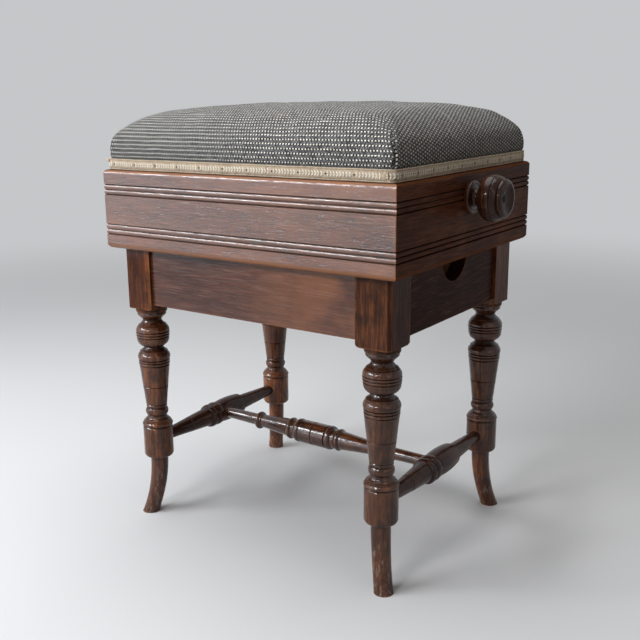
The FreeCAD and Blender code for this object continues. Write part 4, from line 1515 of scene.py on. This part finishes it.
@dataclass
class BraidTrim:
    """Woven braid round the foot of the cushion, and the tacks that hold it.

    A cord is its height as a share of the braid's, and its radius. A fold is its place
    along the front from the join or from the left end, its rise, half sizes and lean.
    """

    seam_inset: float = 0.009
    seam_width: float = 0.0004
    corner: float = 0.0066
    step: float = 0.0015
    tack_pitch: float = 0.032
    tack_margin: float = 0.012
    tack_radius: float = 0.00125
    tack_rise: float = 0.0007
    tack_clearance: float = 0.0019
    chevron_pitch: float = 0.0037
    chevron: Place = (0.00185, 0.00080, 0.00090)
    chevron_rise: float = 0.00122
    chevron_lean: float = 0.88
    rib_pitch: float = 0.00135
    rib: Place = (0.00056, 0.00050, 0.00135)
    rib_share: float = 0.325
    chevron_out: float = 1.12
    rib_out: float = 0.86
    jitter: Tuple[Place, Place] = ((0.90, 0.85, 0.92), (1.08, 1.15, 1.06))
    cord_sides: int = 7
    cords: Tuple[Pair, ...] = (
        (0.44, 0.00080), (-0.44, 0.00080), (0.215, 0.00042), (-0.215, 0.00042))
    backing: float = 0.0007
    backing_share: float = 0.94
    wave: float = 0.0004
    thickness: float = 0.0016
    wave_scale: float = 34.0
    join_folds: Tuple[Tuple[float, float, Place, float], ...] = (
        (-0.0022, 0.0, (0.0030, 0.0013, 0.0044), 0.06),
        (0.0016, 0.0004, (0.0011, 0.0019, 0.0046), -0.10))
    left_fold: Tuple[float, float, Place, float] = (
        0.0010, 0.0044, (0.0036, 0.0012, 0.0017), 0.50)

    def __post_init__(self) -> None:
        """Reads the braid's place from the frame."""
        low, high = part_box("gimp_braid")
        self.half_x, self.half_y = high.x, high.y
        self.low, self.high = low.z, high.z
        self.middle = (low.z + high.z) / 2
        self.seam = self.half_x - self.seam_inset

    def path(self) -> np.ndarray:
        """Line of the braid's back, from one side of its join round to the other.

        Returns:
            One row of X and Y for each point.
        """
        hx, hy, r = self.half_x, self.half_y, self.corner
        runs = [(self.seam + self.seam_width, -hy), (hx - r, -hy)]
        for sx, sy, turn in ((1, -1, -90), (1, 1, 0), (-1, 1, 90), (-1, -1, 180)):
            for degrees in range(turn, turn + 91, 9):
                angle = math.radians(degrees)
                runs.append((sx * (hx - r) + r * math.cos(angle),
                             sy * (hy - r) + r * math.sin(angle)))
        runs.append((self.seam, -hy))
        line: List[Pair] = []
        for (ax, ay), (bx, by) in zip(runs, runs[1:]):
            steps = max(1, int(math.hypot(bx - ax, by - ay) / self.step))
            line += [(ax + (bx - ax) * k / steps, ay + (by - ay) * k / steps)
                     for k in range(steps)]
        return np.array([*line, runs[-1]])

    def tack_points(self) -> Piece:
        """Sets a point at the middle of each tack's head, with the way that it faces.

        Returns:
            An object of loose vertices.
        """
        places = []
        for along, out, swap in ((self.half_x, self.half_y, False),
                                 (self.half_y, self.half_x, True)):
            span = 2 * (along - self.tack_margin)
            count = max(2, round(span / self.tack_pitch) + 1)
            for index in range(count):
                place = -span / 2 + span * index / (count - 1)
                for spot in ((place, -out), (place, out)):
                    places.append((*(spot[::-1] if swap else spot), self.middle))
        points = mesh_object("gimp_pins", np.array(places))
        outward = points.data.attributes.new("outward", "FLOAT_VECTOR", "POINT")
        for item, (x, y, _) in zip(outward.data, places):
            at_end = abs(x) > self.half_x - MM
            item.vector = (math.copysign(1, x), 0, 0) if at_end else (0, math.copysign(1, y), 0)
        return points

    def row(self, tree: GeometryTree, curve: Socket, pitch: Field, stitch: Socket, seed: int,
            tacks: Optional[Piece] = None) -> Socket:
        """Repeats a stitch along the braid.

        Args:
            tree: The tree under construction.
            curve: The line that the braid follows.
            pitch: Distance between stitches.
            stitch: The stitch's mesh, with X along the braid and -Y outward.
            seed: Seed of the stitches' small differences.
            tacks: Points that the stitches leave room for.

        Returns:
            The stitches as instances.
        """
        spread = tree.node("GeometryNodeCurveToPoints", {"Curve": curve, "Length": pitch},
                           mode="LENGTH").outputs
        turn = tree.made("FunctionNodeAlignRotationToVector", {"Vector": spread["Tangent"]},
                         axis="X", pivot_axis="Z")
        jitter = tree.made("FunctionNodeRandomValue", {
            "Min": self.jitter[0], "Max": self.jitter[1], "Seed": seed},
            data_type="FLOAT_VECTOR")
        inputs = {"Points": spread["Points"], "Instance": stitch, "Rotation": turn,
                  "Scale": jitter}
        if tacks is not None:
            heads = tree.node("GeometryNodeObjectInfo", {"Object": tacks}).outputs["Geometry"]
            near = tree.node("GeometryNodeProximity", {"Geometry": heads},
                             target_element="POINTS").outputs["Distance"]
            inputs["Selection"] = tree.made("FunctionNodeCompare", {
                0: near, 1: self.tack_clearance}, operation="GREATER_THAN")
        return tree.made("GeometryNodeInstanceOnPoints", inputs)

    def line(self, tree: GeometryTree) -> Socket:
        """Turns the mesh that enters the tree into the braid's slightly wavy line.

        Args:
            tree: The tree under construction.

        Returns:
            The curve.
        """
        wave = tree.size("Wave", self.wave)
        curve = tree.made("GeometryNodeMeshToCurve", {0: tree.entry.outputs[0]})
        drift = tree.field("ShaderNodeTexNoise", {"Scale": self.wave_scale, "Detail": 1.0})
        rise = tree.vector(0.0, 0.0, (drift - 0.5) * wave * 2.0)
        curve = tree.made("GeometryNodeSetPosition", {"Geometry": curve, "Offset": rise})
        return tree.upright(curve)

    def body(self, tree: GeometryTree, curve: Socket, height: Field) -> List[Socket]:
        """Makes the braid's cords, backing and folded ends.

        Args:
            tree: The tree under construction.
            curve: The line that the braid follows.
            height: The braid's height.

        Returns:
            The geometries.
        """
        parts = []
        for share, size in self.cords:
            edge = tree.made("GeometryNodeSetPosition", {
                "Geometry": curve, "Offset": tree.vector(0.0, 0.0, height * share)})
            parts.append(tree.swept(edge, tree.wire(self.cord_sides, size)))
        band = tree.made("GeometryNodeCurvePrimitiveQuadrilateral", {
            "Width": self.backing, "Height": height * self.backing_share})
        parts.append(tree.swept(curve, band))
        ends = [(self.seam, fold) for fold in self.join_folds] + [(-self.half_x, self.left_fold)]
        for start, (along, up, size, lean) in ends:
            fold = tree.ball("GeometryNodeMeshIcoSphere", {"Subdivisions": 3}, size)
            place = (start + along, -self.half_y, self.middle + up)
            parts.append(tree.moved(fold, place, (0.0, lean, 0.0)))
        return parts

    def weave(self, straw: Material, cream: Material, tacks: Piece) -> Piece:
        """Makes the braid: backing, cords, ribbed bands, a row of chevrons, folded ends.

        Args:
            straw: Finish of the braid.
            cream: Finish of the chevrons.
            tacks: Points that the chevrons leave room for.

        Returns:
            The braid's object.
        """
        line = self.path()
        count = len(line)
        braid = mesh_object("gimp_trim", np.column_stack([line, np.full(count, self.middle)]),
                            edges=[(i, i + 1) for i in range(count - 1)])
        tree = GeometryTree("braid_weave")
        chevron_pitch = tree.size("Chevron pitch", self.chevron_pitch)
        rib_pitch = tree.size("Rib pitch", self.rib_pitch)
        height = tree.size("Height", self.high - self.low)
        depth = tree.size("Depth", self.thickness)
        curve = self.line(tree)

        def stitch(out: float, up: Number, size: Place, lean: float, fineness: int) -> Socket:
            """Makes one rounded stitch.

            Args:
                out: Its place outward as a share of the braid's depth.
                up: Its rise.
                size: Its half sizes.
                lean: How far it leans along the braid.
                fineness: How finely it is divided.

            Returns:
                The stitch.
            """
            ball = tree.ball("GeometryNodeMeshIcoSphere", {"Subdivisions": fineness}, size)
            shift = tree.vector(0.0, depth * -out + self.thickness, up)
            return tree.moved(tree.moved(ball, turn=(0.0, lean, 0.0)), shift)

        strokes = [stitch(self.chevron_out, side * self.chevron_rise, self.chevron,
                          side * self.chevron_lean, 2) for side in (1, -1)]
        chevrons = self.row(tree, curve, chevron_pitch, tree.joined(strokes), 3, tacks)
        ribs = []
        for seed, share in ((5, self.rib_share), (6, -self.rib_share)):
            bar = stitch(self.rib_out, height * share, self.rib, 0.0, 1)
            ribs.append(self.row(tree, curve, rib_pitch, bar, seed))
        trim = tree.finished(tree.joined(self.body(tree, curve, height) + ribs), straw)
        return tree.apply(braid, tree.joined([trim, tree.finished(chevrons, cream)]))

    def tacks(self, dark: Material, points: Piece) -> Piece:
        """Makes the domed heads of the tacks.

        Args:
            dark: Their finish.
            points: Their places.

        Returns:
            The same object, now with the heads.
        """
        tree = GeometryTree("tack_heads")
        radius = tree.size("Head radius", self.tack_radius)
        rise = tree.size("Head rise", self.tack_rise)
        head = tree.ball("GeometryNodeMeshUVSphere", {"Segments": 14, "Rings": 8},
                         tree.vector(radius, radius, rise))
        facing = tree.made("GeometryNodeInputNamedAttribute", {"Name": "outward"},
                           data_type="FLOAT_VECTOR")
        turn = tree.made("FunctionNodeAlignRotationToVector", {"Vector": facing}, axis="Z")
        heads = tree.made("GeometryNodeInstanceOnPoints", {
            "Points": tree.entry.outputs[0], "Instance": head, "Rotation": turn})
        return tree.apply(points, tree.finished(heads, dark))

    def build(self) -> None:
        straw = BraidYarn("gimp_straw", (0.68, 0.54, 0.38), (0.15, 0.088, 0.045)).build()
        cream = BraidYarn("gimp_cream", (1.0, 0.96, 0.85), (0.74, 0.62, 0.45)).build()
        dark = OldMetal("tack_blued", (0.050, 0.044, 0.040), (0.022, 0.020, 0.018),
                        rust_share=0.3).build()
        points = self.tack_points()
        braid = self.weave(straw, cream, points)
        settle(braid, "seat_box", ["gimp_braid"])
        settle(self.tacks(dark, points), "seat_box", ["gimp_tacks"])


@dataclass(frozen=True)
class PhotoCamera:
    """Camera at the photograph's place, from corners measured on it."""

    azimuth: float = 37.14
    pitch: float = 13.97
    roll: float = -1.07
    focal_pixels: float = 903.18
    frame_pixels: float = 640.0
    centre: Pair = (282.46, 318.27)
    place: Place = (0.6220, -0.89604, 0.52552)
    sensor_width: float = 36.0

    def build(self) -> None:
        """Makes the camera and sets it as the scene's."""
        a, p, r = (math.radians(v) for v in (self.azimuth, self.pitch, self.roll))
        back = Vector((math.sin(a) * math.cos(p), -math.cos(a) * math.cos(p), math.sin(p)))
        right = Vector((math.cos(a), math.sin(a), 0))
        up = back.cross(right)
        across = right * math.cos(r) + up * math.sin(r)
        above = up * math.cos(r) - right * math.sin(r)
        lens = bpy.data.cameras.new("photo_camera")
        lens.sensor_width = self.sensor_width
        lens.lens = self.focal_pixels / self.frame_pixels * self.sensor_width
        lens.shift_x = (self.frame_pixels / 2 - self.centre[0]) / self.frame_pixels
        lens.shift_y = (self.centre[1] - self.frame_pixels / 2) / self.frame_pixels
        camera = bpy.data.objects.new("photo_camera", lens)
        bpy.context.scene.collection.objects.link(camera)
        turn = Matrix((across, above, back)).transposed().to_4x4()
        camera.matrix_world = Matrix.Translation(self.place) @ turn
        bpy.context.scene.camera = camera


@dataclass
class Studio:
    """Pale floor, soft lamps and an even sky."""

    floor_reach: float = 14.0
    sky_light: float = 0.15
    aim: Place = (0.0, 0.0, 0.30)
    lamps: Tuple[Lamp, ...] = (
        Lamp("window", (-1.25, -1.50, 0.80), (2.2, 1.7), 18.8, (0.82, 0.90, 1.0)),
        Lamp("left_pane", (-1.14, -1.40, 1.22), (1.05, 0.26), 24.5, (0.97, 0.98, 1.0)),
        Lamp("right_pane", (-0.02, -1.75, 1.25), (0.40, 0.30), 10.5, (0.97, 0.98, 1.0)),
        Lamp("overhead", (-0.2, 0.1, 1.9), (1.4, 1.4), 21.0, (0.98, 0.99, 1.0)),
        Lamp("fill", (1.7, -0.6, 0.9), (0.8, 0.8), 2.0, (1.0, 0.80, 0.62)))

    def hang(self, lamp: Lamp) -> None:
        """Adds a lamp that faces the stool.

        Args:
            lamp: What the lamp is like.
        """
        light = bpy.data.lights.new(lamp.name, "AREA")
        light.shape = "RECTANGLE"
        light.size, light.size_y = lamp.size
        light.energy = lamp.power
        light.color = lamp.colour
        holder = bpy.data.objects.new(lamp.name, light)
        bpy.context.scene.collection.objects.link(holder)
        aim = Vector(self.aim) - Vector(lamp.place)
        holder.rotation_euler = aim.to_track_quat("-Z", "Y").to_euler()
        holder.location = lamp.place

    def sky(self) -> None:
        """Sets a pale world that the camera and gloss see at full strength."""
        world = bpy.data.worlds.new("pale_room")
        world.use_nodes = True
        bench = Workbench(world.node_tree)
        bench.tree.nodes.clear()
        strength = bench.seen_directly() * (1.0 - self.sky_light) + self.sky_light
        shade = bench.made("ShaderNodeBackground", {"Color": (*ROOM, 1.0), "Strength": strength})
        bench.node("ShaderNodeOutputWorld", {0: shade})
        bpy.context.scene.world = world

    def build(self) -> None:
        """Makes the floor, lamps and world."""
        corners = np.array([(-1, -1, 0), (1, -1, 0), (1, 1, 0), (-1, 1, 0)]) * self.floor_reach
        ground = PaleGround("pale_floor").build()
        floor = mesh_object("pale_floor", corners, [(0, 1, 2, 3)], ground)
        for lamp in self.lamps:
            self.hang(lamp)
        self.sky()
        bpy.context.scene.view_settings.view_transform = "Standard"


def main() -> None:
    """Builds the stool's looks, sub-assembly by sub-assembly."""
    logging.basicConfig(level=logging.INFO, format="%(message)s")
    map_name = "weave"
    PhotoCamera().build()
    Studio().build()
    LowerFrame().build()
    SeatBox().build()
    LiftingGear().build()
    Cushion(SeatCloth("seat_cloth_weave", map_name).build(), map_name).build()
    BraidTrim().build()


if __name__ == "__main__":
    main()
